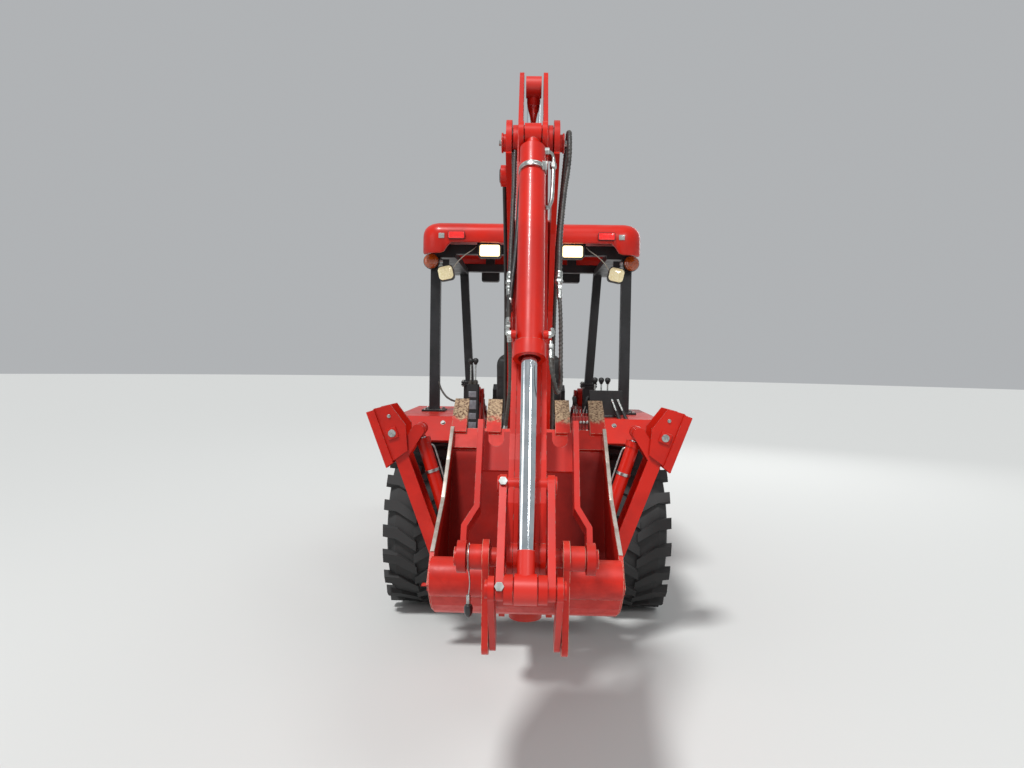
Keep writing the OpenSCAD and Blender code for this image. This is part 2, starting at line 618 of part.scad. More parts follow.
hood_y = 1300;
hood_round = 90;
hood_hinge = [hood_y - 4, hood_z - 14];
hinge_x = 150;
hinge_w = 60;
hinge_pin_r = 4.5;
nose_l = 70;
louvre_rows = 6;
module hood_outline(inset = 0) {
    w = hood_w / 2 - inset;
    h = hood_z - inset;
    r = hood_round - inset;
    polygon(concat([[-w, 760], [-w, h - r]], arc([-w + r, h - r], r, 180, 90, 6), arc([w - r, h - r], r, 90, 0, 6), [[w, 760]]));
}
module hood() color(machine_red) from_axle() {
    difference() {
        translate([0, hood_y + hood_l, 0]) rotate([90, 0, 0]) linear_extrude(hood_l) hood_outline();
        translate([0, hood_y + hood_l + 1, 0]) rotate([90, 0, 0]) linear_extrude(hood_l + 2) hood_outline(sheet_t);
        translate([-hood_w, hood_y - 1, 700]) cube([2 * hood_w, hood_l + 2, 60 + eps]);
        // Louvres in the sides
        for (i = [0 : louvre_rows - 1]) translate([-hood_w, hood_y + 620, 860 + i * 44]) cube([2 * hood_w, 300, 16]);
        // Cut-away below the hood's rear end, over the engine's side
        translate([-hood_w, hood_y - 1, 759]) cube([2 * hood_w, 420, 130]);
    }
    // Hooded brow over the grille, and the raised rib along the top
    translate([0, hood_y + hood_l + nose_l, 0]) rotate([90, 0, 0]) linear_extrude(nose_l + eps) difference() {
        hood_outline();
        hood_outline(18);
        translate([-hood_w, 700]) square([2 * hood_w, 520]);
    }
    translate([-110, hood_y + 80, hood_z - eps]) cube([220, hood_l - 120, 10]);
    for (s = [-1, 1]) side(s * hinge_x, hinge_w) difference() {
        disc_at(hood_hinge, 10);
        disc_at(hood_hinge, hinge_pin_r + run);
    }
}
head_lamp = [120, 84, 26];
module grille() color(matt_black) from_axle() {
    w = hood_w / 2 - sheet_t - run;
    face = hood_y + hood_l - 6;
    difference() {
        translate([-w, face - 24, 770]) cube([2 * w, 24, 440]);
        // Slots between the bars
        for (z = [800 : 34 : 1060]) translate([-w + 24, face - 25, z]) cube([2 * w - 48, 26, 18]);
    }
    for (x = [-w / 3, w / 3]) translate([x - 6, face - 26, 790]) cube([12, 30, 300]);
    for (s = [-1, 1]) translate([s * (w - 84), face + head_lamp[2] / 2 - eps, 1146]) lamp_box(head_lamp, 16);
}

module loader_arms() color(machine_red) from_axle() {
    difference() {
        for (s = [-1, 1]) {
            side(s * arm_x, arm_t) {
                bar(loader_pivot, [2100, 1040], 150);
                bar([2100, 1040], loader_knee, 150);
                disc_at(loader_toe, 43);
                polygon([
                    polar(loader_knee, 60, knee_dir + 90), polar(loader_knee, 60, knee_dir - 90),
                    polar(loader_toe, 41, knee_dir - 90), polar(loader_toe, 41, knee_dir + 90)
                ]);
            }
            across(loader_pivot, 60, 2 * (post_gap - side_gap), s * arm_x);
            // Ears below the arm for the lift rod, and above its knee for the tilt barrel
            for (k = [-1, 1]) side(s * arm_x + k * (arm_t / 2 + ear_plate / 2 - 1), ear_plate) {
                bar(lift_eye, [2070, 1030], 76);
                bar(tilt_foot, [2270, 930], 84);
            }
        }
        for (s = [-1, 1]) across(loader_pivot, loader_pin_r + run, 2 * post_gap, s * arm_x);
    }
    across(cross_tube, 45, 2 * arm_x);
    for (s = [-1, 1]) {
        across(tilt_foot, loader_pin_r, arm_t + 10, s * arm_x);
        across(loader_toe, loader_pin_r, arm_t + 2 * (side_gap + 18) + 16, s * arm_x);
    }
}

module loader_bucket() color(machine_red) from_axle() {
    back = 3070;
    w = loader_bucket_w / 2;
    shell = [[back + 60, 700], [back + 10, 660], [back, 200], [back + 110, 72], bucket_lip];
    side(0, loader_bucket_w) sheet_along(shell, 14);
    for (s = [-1, 1]) side(s * (w - 6), 12)
        polygon([[back + 60, 700], [back, 640], [back, 200], [back + 110, 66], [front_reach - 60, 66], [back + 470, 400], [back + 180, 680]]);
    // Ears for the arms and the tilt rods
    for (s = [-1, 1], k = [-1, 1]) difference() {
        side(s * arm_x + k * (arm_t / 2 + side_gap + 9), 18)
            polygon([[back + 3, 200], [2960, 270], [2930, 330], [2930, 590], [2960, 620], [back + 3, 640]]);
        across(loader_toe, loader_pin_r + run, 40, s * arm_x + k * (arm_t / 2 + side_gap + 9));
    }
}

lift_barrel_l = 520;
module lift_barrels() color(matt_black) from_axle() for (s = [-1, 1])
    barrel(lift_foot, lift_eye, lift_barrel_r, lift_barrel_l, 2 * (post_gap - side_gap), loader_pin_r, 40, s * arm_x);
module lift_rods() color(chrome_rod) from_axle() for (s = [-1, 1])
    rod(lift_foot, lift_eye, lift_rod_r, 400, arm_t - 8, 32, s * arm_x);
tilt_barrel_l = 430;
module tilt_barrels() color(matt_black) from_axle() for (s = [-1, 1])
    barrel(tilt_foot, tilt_eye, 32, tilt_barrel_l, arm_t - 8, loader_pin_r, 66, s * arm_x);
module tilt_rods() color(chrome_rod) from_axle() for (s = [-1, 1])
    rod(tilt_foot, tilt_eye, 18, 330, arm_t, 28, s * arm_x);

// Backhoe frame: two plates across the machine, joined by a closed box, with the swing knuckles behind
frame_front = -730;
frame_rear = -950;
module backhoe_frame() color(machine_red) from_axle() {
    for (y = [frame_front, frame_rear + 20]) translate([0, y, 0]) rotate([90, 0, 0]) linear_extrude(20) polygon([
        [-530, 360], [-470, 340], [470, 340], [530, 360], [510, 470], [400, 620], [300, 760], [-300, 760], [-400, 620], [-510, 470]
    ]);
    translate([-255, frame_rear, 380]) cube([510, frame_front - frame_rear - 20, 340]);
    for (s = [-1, 1]) {
        translate([s * stab_foot_x, frame_front, stab_foot_z]) rotate([90, 0, 0]) cylinder(r = hoe_pin_r, h = frame_front - frame_rear);
        translate([s * stab_base[0], frame_front, stab_base[1]]) rotate([90, 0, 0]) cylinder(r = 20, h = frame_front - frame_rear);
    }
    // Knuckles above and below the swing post
    for (z = [350, 640]) translate([0, 0, z]) linear_extrude(40) {
        polygon([[-84, frame_rear + 5], [84, frame_rear + 5], [78, swing_y], [-78, swing_y]]);
        translate([0, swing_y]) circle(80);
    }
    for (z = [340, 630]) translate([0, swing_y, z]) cylinder(r = 38, h = 62);
}

cheek_x = 111;
cheek_t = 28;
module swing_post() color(machine_red) from_axle() {
    low = 390 + side_gap;
    high = 640 - side_gap;
    difference() {
        union() {
            translate([0, swing_y, low]) cylinder(r = 80, h = high - low);
            translate([-cheek_x - 14, swing_y - 74, low]) cube([2 * cheek_x + 28, 50, high - low]);
            sides(cheek_x, cheek_t) {
                disc_at(boom_foot, 84);
                polygon([
                    [swing_y - 50, low], [swing_y - 50, high], [boom_foot[0] + 45, high], [boom_foot[0] + 45, 712],
                    [-1296, 745], [-1286, 800], [-1330, 838], [-1430, 800], [-1528, 640],
                    [-1528, 560], [-1470, 500], [boom_foot[0] + 45, low]
                ]);
            }
        }
        translate([0, swing_y, low - 10]) cylinder(r = 38 + run, h = 20);
        translate([0, swing_y, high - 10]) cylinder(r = 38 + run, h = 20);
    }
    across(boom_foot, 32, 2 * cheek_x + 44);
    // Bosses and pin that carry the boom cylinder's foot
    for (s = [-1, 1]) across(boom_lift_foot, 42, cheek_x - 30, s * (cheek_x + 30) / 2);
    across(boom_lift_foot, hoe_pin_r, 2 * cheek_x);
}

boom_plate_x = 82;
module boom() color(machine_red) from_axle() {
    difference() {
        union() {
            sides(boom_plate_x, 20) {
                polygon([
                    [-1378, 640], [-1452, 1150], [-1486, 1540], [-1545, 1850], [-1790, 2190], [-2140, 2430],
                    [-2270, 2300], [-1985, 2080], [-1795, 1800], [-1710, 1500], [-1660, 1200], [-1532, 560]
                ]);
                disc_at(boom_foot, 88);
                disc_at(boom_head, 76);
                disc_at(boom_lift_eye, 46);
                polygon([[-1495, 1340], [-1394, 1475], [-1394, 1525], [-1520, 1630]]);
            }
            across(boom_foot, 50, 2 * boom_plate_x);
            // Web plates
            side(0, 2 * boom_plate_x - 10)
                sheet_along([[-1530, 690], [-1646, 1200], [-1698, 1500], [-1752, 1690]], 14);
            side(0, 2 * boom_plate_x - 10) sheet_along([[-1430, 770], [-1472, 1150], [-1480, 1330]], 14);
            side(0, 2 * boom_plate_x - 10) sheet_along([[-1536, 1790], [-1562, 1862], [-1784, 2168]], 14);
        }
        across(boom_foot, 32 + run, 200);
    }
    across(boom_head, hoe_pin_r + 5, 2 * boom_plate_x + 44);
    for (s = [-1, 1]) {
        across(boom_lift_eye, 40, boom_plate_x - 30, s * (boom_plate_x + 30) / 2);
        across(crowd_foot, 44, boom_plate_x - 30, s * (boom_plate_x + 30) / 2);
    }
    across(crowd_foot, hoe_pin_r, 2 * boom_plate_x);
}
boom_barrel_l = 500;
module boom_barrel() color(matt_black) from_axle()
    barrel(boom_lift_foot, boom_lift_eye, 45, boom_barrel_l, 54, hoe_pin_r, 52);
module boom_rod() color(chrome_rod) from_axle()
    rod(boom_lift_foot, boom_lift_eye, hoe_rod_r + 4, 400, 48, 38);
dipper_barrel_l = 640;
module dipper_barrel() color(matt_black) from_axle()
    barrel(crowd_foot, crowd_eye, 42, dipper_barrel_l, 54, hoe_pin_r, 52);
module dipper_rod() color(chrome_rod) from_axle()
    rod(crowd_foot, crowd_eye, hoe_rod_r + 2, 500, 56, 38);

// The dipper: two side plates with webs, its top ears for the crowd rod, and the stowed thumb
thumb_x = 137;        // a tine's middle at the thumb's tip
thumb_foot_x = 169;   // and at its pin, clear of the bucket's ears
thumb_t = 16;
thumb_depth = 70;
thumb_tip = dipper_l - 395;
// A flat shape laid on the dipper's machine side: [x, u], from v towards the machine
module on_machine_side(v, t) {
    translate([0, boom_head[0], boom_head[1]]) rotate([-90 - dipper_lean, 0, 0]) translate([0, 0, v]) linear_extrude(t) children();
}
module thumb() {
    for (s = [-1, 1]) {
        on_machine_side(10, thumb_depth) scale([s, 1]) sheet_along([
            [thumb_x, thumb_tip], [thumb_x, dipper_l - 140], [thumb_foot_x, dipper_l - 85], [thumb_foot_x, dipper_l + 10]
        ], thumb_t);
        // Points of the tines, cut on a slant, and the bosses on the bucket's pin
        side(s * thumb_x, thumb_t) polygon([
            on_dipper(thumb_tip + 1, -10), on_dipper(thumb_tip + 1, -80), on_dipper(thumb_tip - 26, -80), on_dipper(thumb_tip - 8, -30)
        ]);
        side(s * thumb_foot_x, thumb_t + 8) disc_at(bucket_pin, 42);
    }
    // Cross web against the dipper, with its U notches
    on_machine_side(76, 14) difference() {
        translate([-thumb_x, thumb_tip + 12]) square([2 * thumb_x, 120]);
        for (s = [-1, 1]) {
            translate([s * (thumb_x + dipper_w / 2) / 2, thumb_tip + 35]) circle(23);
            translate([s * (thumb_x + dipper_w / 2) / 2 - 23, thumb_tip]) square([46, 35]);
        }
    }
}
module dipper_profile() {
    polygon([
        on_dipper(-285, 48), on_dipper(-285, -48), on_dipper(-120, -70), on_dipper(120, -128), on_dipper(300, -125),
        on_dipper(dipper_l - 60, -58), on_dipper(dipper_l + 20, -42), on_dipper(dipper_l + 20, 30),
        on_dipper(dipper_l - 130, 62), on_dipper(dipper_l - 250, 62), on_dipper(dipper_l - 330, 45),
        on_dipper(300, 76), on_dipper(60, 80), on_dipper(-120, 62)
    ]);
}
module dipper() color(machine_red) from_axle() {
    difference() {
        union() {
            sides(dipper_w / 2 - 8, 16) {
                dipper_profile();
                disc_at(boom_head, 72);
                disc_at(crowd_eye, 50);
                disc_at(bucket_pin, 50);
            }
            across(boom_head, 60, 2 * (boom_plate_x - 10 - side_gap));
            across(bucket_pin, 48, dipper_w);
            side(0, dipper_w - 10) sheet_along([on_dipper(120, 72), on_dipper(dipper_l - 330, 38), on_dipper(dipper_l - 250, 55), on_dipper(dipper_l - 130, 55), on_dipper(dipper_l - 20, 30)], 12);
            side(0, dipper_w - 10) sheet_along([on_dipper(130, -120), on_dipper(300, -118), on_dipper(dipper_l - 60, -52)], 12);
            // Ears for the bucket cylinder's foot
            sides(38, 16) {
                disc_at(curl_foot, 44);
                polygon([on_dipper(40, 70), on_dipper(57, 150), on_dipper(143, 150), on_dipper(152, 72)]);
            }
            // Pin that carries the guide links
            across(guide_pivot, hoe_pin_r, 2 * (guide_x + guide_t / 2) + 12);
            thumb();
        }
        across(boom_head, hoe_pin_r + 5 + run, 300);
        // Room for the pin of the bucket, which the bucket carries
        across(bucket_pin, hoe_pin_r + run, 2 * (thumb_foot_x + thumb_t));
    }
    across(curl_foot, hoe_pin_r - 4, 92);
}
module bucket_barrel() color(machine_red) from_axle()
    barrel(curl_foot, curl_eye, hoe_barrel_r, 800, 54, hoe_pin_r - 4, 58);
module bucket_rod() color(chrome_rod) from_axle()
    rod(curl_foot, curl_eye, hoe_rod_r, 680, 56, 38);

module guide_links() color(machine_red) from_axle() {
    difference() {
        sides(guide_x, guide_t) bar(guide_pivot, curl_eye, 56);
        across(guide_pivot, hoe_pin_r + run, 300);
    }
    // The links carry the pin on which the bucket links turn
    for (s = [-1, 1]) {
        across(curl_eye, 36, guide_x - guide_t / 2 - 31, s * ((guide_x - guide_t / 2 + 31) / 2));
        across(curl_eye, hoe_pin_r - 2, link_x + link_t / 2 + 8 - guide_x, s * ((guide_x + link_x + link_t / 2 + 8) / 2));
    }
}
module bucket_links() color(machine_red) from_axle() difference() {
    sides(link_x, link_t) bar(curl_eye, link_eye, 62);
    across(curl_eye, hoe_pin_r - 2 + run, 300);
}

// Backhoe bucket: rolled edge, wrapped shell, sides, ears, teeth
wrap_r = 240;
lip_s = 719;
module backhoe_bucket() color(machine_red) from_axle() {
    w = hoe_bucket_w;
    tangent_a = -atan(45 / (lip_s - 205)) + acos(wrap_r / norm([lip_s - 205, 45]));
    wrap = [for (a = [180 : -12 : tangent_a]) in_bucket(205 + wrap_r * cos(a), 45 + wrap_r * sin(a))];
    side(0, w - 20) sheet_along(concat(wrap, [in_bucket(lip_s - 60, 18)]), 12);
    across(in_bucket(0, 0), 60, w - 20);
    sides(w / 2 - 10, 14) polygon(concat([in_bucket(-50, -20)], wrap, [in_bucket(lip_s, 8), in_bucket(lip_s - 10, -20), in_bucket(350, 10), in_bucket(60, -45)]));
    side(0, w) sheet_along([in_bucket(lip_s - 90, 26), in_bucket(lip_s, 4)], 20);
    // Teeth
    for (i = [-2 : 2]) side(i * (w - 70) / 4, 58)
        polygon([in_bucket(lip_s - 30, 26), in_bucket(lip_s + 70, 4), in_bucket(lip_s + 165, -24), in_bucket(lip_s + 70, -34), in_bucket(lip_s - 30, -12)]);
    // Ears
    sides(ear_x, ear_t) {
        disc_at(bucket_pin, 46);
        disc_at(link_eye, 42);
        polygon([
            bucket_pin + [-44, 10], bucket_pin + [10, 44], in_bucket(40, -60), in_bucket(60, 30), in_bucket(-30, 140),
            link_eye + [10, -42], link_eye + [-42, 0]
        ]);
    }
    across(bucket_pin, hoe_pin_r, 2 * (thumb_foot_x + thumb_t / 2) + 24);
    for (s = [-1, 1]) across(bucket_pin, hoe_pin_r + 8, thumb_foot_x - thumb_t / 2 - 4 - side_gap - ear_x, s * (thumb_foot_x - thumb_t / 2 - 4 - side_gap + ear_x) / 2);
}

// Stabilizers: places in the plane across the machine, [x, z], for the right side
stab_foot = [stab_foot_x, stab_foot_z];
stab_toe = polar(stab_foot, stab_arm_l, 90 - stab_lean);
stab_eye = [592, 1215];
stab_base = [385, 555];
stab_mid = (frame_front + frame_rear) / 2;
module cross_plane(y, t, s) { translate([0, y + t / 2, 0]) scale([s, 1, 1]) rotate([90, 0, 0]) linear_extrude(t) children(); }
module stab_along(s, a, b, r, from, to) {
    translate([s * a[0], stab_mid, a[1]]) rotate([0, s * (90 - dir(a, b)), 0]) translate([0, 0, from]) cylinder(r = r, h = to - from);
}
// A place by the stabilizer's toe pin: n away from the arm, u along it
function by_toe(n, u) = stab_toe + n * [cos(stab_lean), -sin(stab_lean)] + u * [sin(stab_lean), cos(stab_lean)];
function on_stab(l, n = 0) = stab_foot + l * [sin(stab_lean), cos(stab_lean)] + n * [cos(stab_lean), -sin(stab_lean)];
module stabilizer(s) from_axle() {
    difference() {
        for (k = [-1, 1]) cross_plane(stab_mid + k * 72, 16, s) {
            bar(stab_foot, stab_toe, 74);
            bar(stab_eye, on_stab(700), 66);
        }
        cross_plane(stab_mid, 200, s) disc_at(stab_foot, hoe_pin_r + run);
    }
    // Web between the arm's plates, on the side away from the cylinder
    cross_plane(stab_mid, 136, s) bar(on_stab(110, 24), on_stab(640, 24), 14);
    for (k = [-1, 1]) cross_plane(stab_mid + k * (72 + 33) / 2, 39, s) disc_at(stab_eye, 28);
    cross_plane(stab_mid, 216, s) disc_at(stab_toe, 20);
}
module stabilizer_pad(s) from_axle() {
    difference() {
        for (k = [-1, 1]) cross_plane(stab_mid + k * 91, 14, s)
            polygon([by_toe(60, 150), by_toe(47, 156), by_toe(-42, 146), by_toe(-82, 17), by_toe(-45, -116), by_toe(38, -139), by_toe(80, -150), by_toe(84, 148)]);
        cross_plane(stab_mid, 220, s) disc_at(stab_toe, 20 + run);
    }
    // Foot plate with turned-in edges
    cross_plane(stab_mid, 228, s) bar(by_toe(85, 145), by_toe(85, -158), 12);
    for (k = [-1, 1]) cross_plane(stab_mid + k * 108, 12, s)
        polygon([by_toe(47, 150), by_toe(47, -150), by_toe(88, -160), by_toe(88, 148)]);
}
stab_barrel_l = 640;
module stabilizer_barrel(s) from_axle() {
    difference() {
        union() {
            stab_along(s, stab_base, stab_eye, stab_barrel_r, 44, stab_barrel_l);
            stab_along(s, stab_base, stab_eye, stab_barrel_r + 6, stab_barrel_l - 30, stab_barrel_l);
            stab_along(s, stab_base, stab_eye, stab_barrel_r + 3, 448, 464);
            cross_plane(stab_mid, 60, s) disc_at(stab_base, 38);
            stab_along(s, stab_base, stab_eye, 28, 0, 45);
        }
        cross_plane(stab_mid, 80, s) disc_at(stab_base, 20 + run);
        stab_along(s, stab_base, stab_eye, stab_barrel_r * 0.78, 84, stab_barrel_l + 1);
    }
}
module stabilizer_rod(s) from_axle() {
    stab_along(s, stab_base, stab_eye, 20, 120, dist(stab_base, stab_eye));
    cross_plane(stab_mid, 60, s) disc_at(stab_eye, 34);
}
module stabilizer_left() color(machine_red) stabilizer(-1);
module stabilizer_right() color(machine_red) stabilizer(1);
module stabilizer_pad_left() color(machine_red) stabilizer_pad(-1);
module stabilizer_pad_right() color(machine_red) stabilizer_pad(1);
module stabilizer_barrel_left() color(matt_black) stabilizer_barrel(-1);
module stabilizer_barrel_right() color(matt_black) stabilizer_barrel(1);
module stabilizer_rod_left() color(chrome_rod) stabilizer_rod(-1);
module stabilizer_rod_right() color(chrome_rod) stabilizer_rod(1);

chassis();
rear_axle();
loader_posts();
engine_block();
front_axle();
tie_rod();
knuckle_left();
knuckle_right();
front_tyre_left();
front_rim_left();
front_tyre_right();
front_rim_right();
rear_tyre_left();
rear_rim_left();
rear_tyre_right();
rear_rim_right();
platform();
fenders();
side_tanks();
cowl();
steering_wheel();
seat_base();
seat();
control_console();
levers();
roof_posts();
canopy();
lamps();
hood();
grille();
loader_arms();
loader_bucket();
lift_barrels();
lift_rods();
tilt_barrels();
tilt_rods();
backhoe_frame();
swing_post();
boom();
boom_barrel();
boom_rod();
dipper();
dipper_barrel();
dipper_rod();
bucket_barrel();
bucket_rod();
guide_links();
bucket_links();
backhoe_bucket();
stabilizer_left();
stabilizer_pad_left();
stabilizer_barrel_left();
stabilizer_rod_left();
stabilizer_right();
stabilizer_pad_right();
stabilizer_barrel_right();
stabilizer_rod_right();
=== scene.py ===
"""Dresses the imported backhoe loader: paint, rubber, chrome, lenses, hoses, seat and fasteners."""

import sys

import logging
import math
from collections.abc import Callable, Sequence
from dataclasses import dataclass, field, replace
from enum import Enum

import bmesh
import bpy
from mathutils import Matrix, Vector

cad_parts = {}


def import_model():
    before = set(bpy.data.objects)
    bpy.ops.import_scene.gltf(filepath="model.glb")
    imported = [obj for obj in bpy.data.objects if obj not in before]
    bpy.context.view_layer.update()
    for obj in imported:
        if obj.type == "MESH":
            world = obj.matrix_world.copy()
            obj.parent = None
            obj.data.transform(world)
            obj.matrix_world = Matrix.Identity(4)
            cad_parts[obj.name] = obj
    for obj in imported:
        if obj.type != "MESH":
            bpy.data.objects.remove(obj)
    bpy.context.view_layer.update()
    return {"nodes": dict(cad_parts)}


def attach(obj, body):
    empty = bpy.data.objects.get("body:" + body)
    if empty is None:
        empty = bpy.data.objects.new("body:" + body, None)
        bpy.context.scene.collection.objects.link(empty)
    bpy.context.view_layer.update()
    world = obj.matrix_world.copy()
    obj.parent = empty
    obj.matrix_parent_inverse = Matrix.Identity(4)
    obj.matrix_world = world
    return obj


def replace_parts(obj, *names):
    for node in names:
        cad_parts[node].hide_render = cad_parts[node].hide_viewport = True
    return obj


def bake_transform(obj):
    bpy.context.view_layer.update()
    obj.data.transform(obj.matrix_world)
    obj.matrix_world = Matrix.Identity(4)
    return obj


Shape = bmesh.types.BMesh
Socket = bpy.types.NodeSocket
Triple = tuple[float, float, float]
Pattern = Callable[[bpy.types.NodeTree, bpy.types.NodeOutputs], tuple[Socket, Socket]]

LOG = logging.getLogger("backhoe_loader")
MM = 0.001
REAR_AXLE_Y = -422.0
SIDES = ((-1, "left"), (1, "right"))
UP, DOWN = Vector((0, 0, 1)), Vector((0, 0, -1))
FORWARD, REARWARD = Vector((0, 1, 0)), Vector((0, -1, 0))
CREASE_DEGREES = 35
CURVE_STEPS = 24


def place(x: float, y: float, z: float) -> Vector:
    """A place given in millimetres from the rear axle, as metres in the row frame."""
    return Vector((x, y + REAR_AXLE_Y, z)) * MM


def route(*spots: Triple, at: Callable[[float, float, float], Vector] = place) -> list[Vector]:
    """Turns triples of millimetres into places, each by at."""
    return [at(*spot) for spot in spots]


def linear(hex_colour: str) -> tuple[float, float, float, float]:
    """Turns an sRGB hex colour into Blender's linear colour.

    Args:
        hex_colour: The colour as a hash sign and six hex digits.

    Returns:
        Its linear red, green and blue, and full alpha.
    """
    values = [int(hex_colour[i : i + 2], 16) / 255 for i in (1, 3, 5)]
    out = [v / 12.92 if v <= 0.04045 else ((v + 0.055) / 1.055) ** 2.4 for v in values]
    return out[0], out[1], out[2], 1.0


def add_node(
    tree: bpy.types.NodeTree, kind: str, links: dict | None = None, settings: dict | None = None
) -> bpy.types.Node:
    """Adds a node to a tree with its settings and links.

    Args:
        tree: The tree that gets the node.
        kind: The node's Blender type.
        links: Input names or numbers, each with an output socket or a plain value.
        settings: Attributes set on the node.

    Returns:
        The new node.
    """
    node = tree.nodes.new(kind)
    for name, value in (settings or {}).items():
        setattr(node, name, value)
    for name, value in (links or {}).items():
        if isinstance(value, bpy.types.NodeSocket):
            tree.links.new(value, node.inputs[name])
        else:
            node.inputs[name].default_value = value
    return node


@dataclass
class Shading:
    """A material's node tree, with the few operations that the finishes are made of."""

    tree: bpy.types.NodeTree

    def add(
        self, kind: str, links: dict | None = None, settings: dict | None = None
    ) -> bpy.types.Node:
        """Adds a node to the tree."""
        return add_node(self.tree, kind, links, settings)

    def spot(self) -> Socket:
        """The piece's own coordinates."""
        return self.add("ShaderNodeTexCoord").outputs["Object"]

    def axis(self, vector: Socket, name: str) -> Socket:
        """One axis of a vector."""
        return self.add("ShaderNodeSeparateXYZ", {0: vector}).outputs[name]

    def noise(self, size_mm: float, detail: float, stretch: Triple = (1, 1, 1)) -> Socket:
        """A noise over the piece's own coordinates.

        Args:
            size_mm: About how far across its marks are.
            detail: How many finer layers it has.
            stretch: The coordinates' scale along each axis.

        Returns:
            The noise.
        """
        scaled = self.add("ShaderNodeMapping", {"Vector": self.spot(), "Scale": stretch})
        scale = 1000.0 / size_mm
        values = {"Vector": scaled.outputs[0], "Scale": scale, "Detail": detail, "Roughness": 0.6}
        return self.add("ShaderNodeTexNoise", values).outputs["Fac"]

    def span(
        self, value: Socket, low: float, high: float, to_low: float = 0.0, to_high: float = 1.0
    ) -> Socket:
        """Maps a value from one range to another with soft ends.

        Args:
            value: What is mapped.
            low: Where its range starts.
            high: Where its range ends.
            to_low: What low becomes.
            to_high: What high becomes.

        Returns:
            The mapped value, held within the new range.
        """
        links = {
            "Value": value, "From Min": low, "From Max": high, "To Min": to_low, "To Max": to_high
        }
        settings = {"interpolation_type": "SMOOTHSTEP"}
        return self.add("ShaderNodeMapRange", links, settings).outputs[0]

    def calc(self, operation: str, a: Socket, b: Socket | float = 0.0, held: bool = True) -> Socket:
        """One operation on values, held between 0 and 1 unless told otherwise."""
        settings = {"operation": operation, "use_clamp": held}
        return self.add("ShaderNodeMath", {0: a, 1: b}, settings).outputs[0]

    def vector(self, operation: str, a: Socket, b: Socket | Triple = (0.0, 0.0, 0.0)) -> Socket:
        """One operation on vectors, a number for a product or a length."""
        node = self.add("ShaderNodeVectorMath", {0: a, 1: b}, {"operation": operation})
        return node.outputs["Value" if operation in ("DOT_PRODUCT", "LENGTH") else 0]

    def blend(self, share: Socket, a: object, b: object) -> Socket:
        """Blends colour a into colour b by share."""
        links = {0: share, 6: a, 7: b}
        return self.add("ShaderNodeMix", links, {"data_type": "RGBA"}).outputs[2]

    def feed(self, shader: bpy.types.Node, name: str, value: Socket) -> None:
        """Links a value to one input of the shader."""
        self.tree.links.new(value, shader.inputs[name])


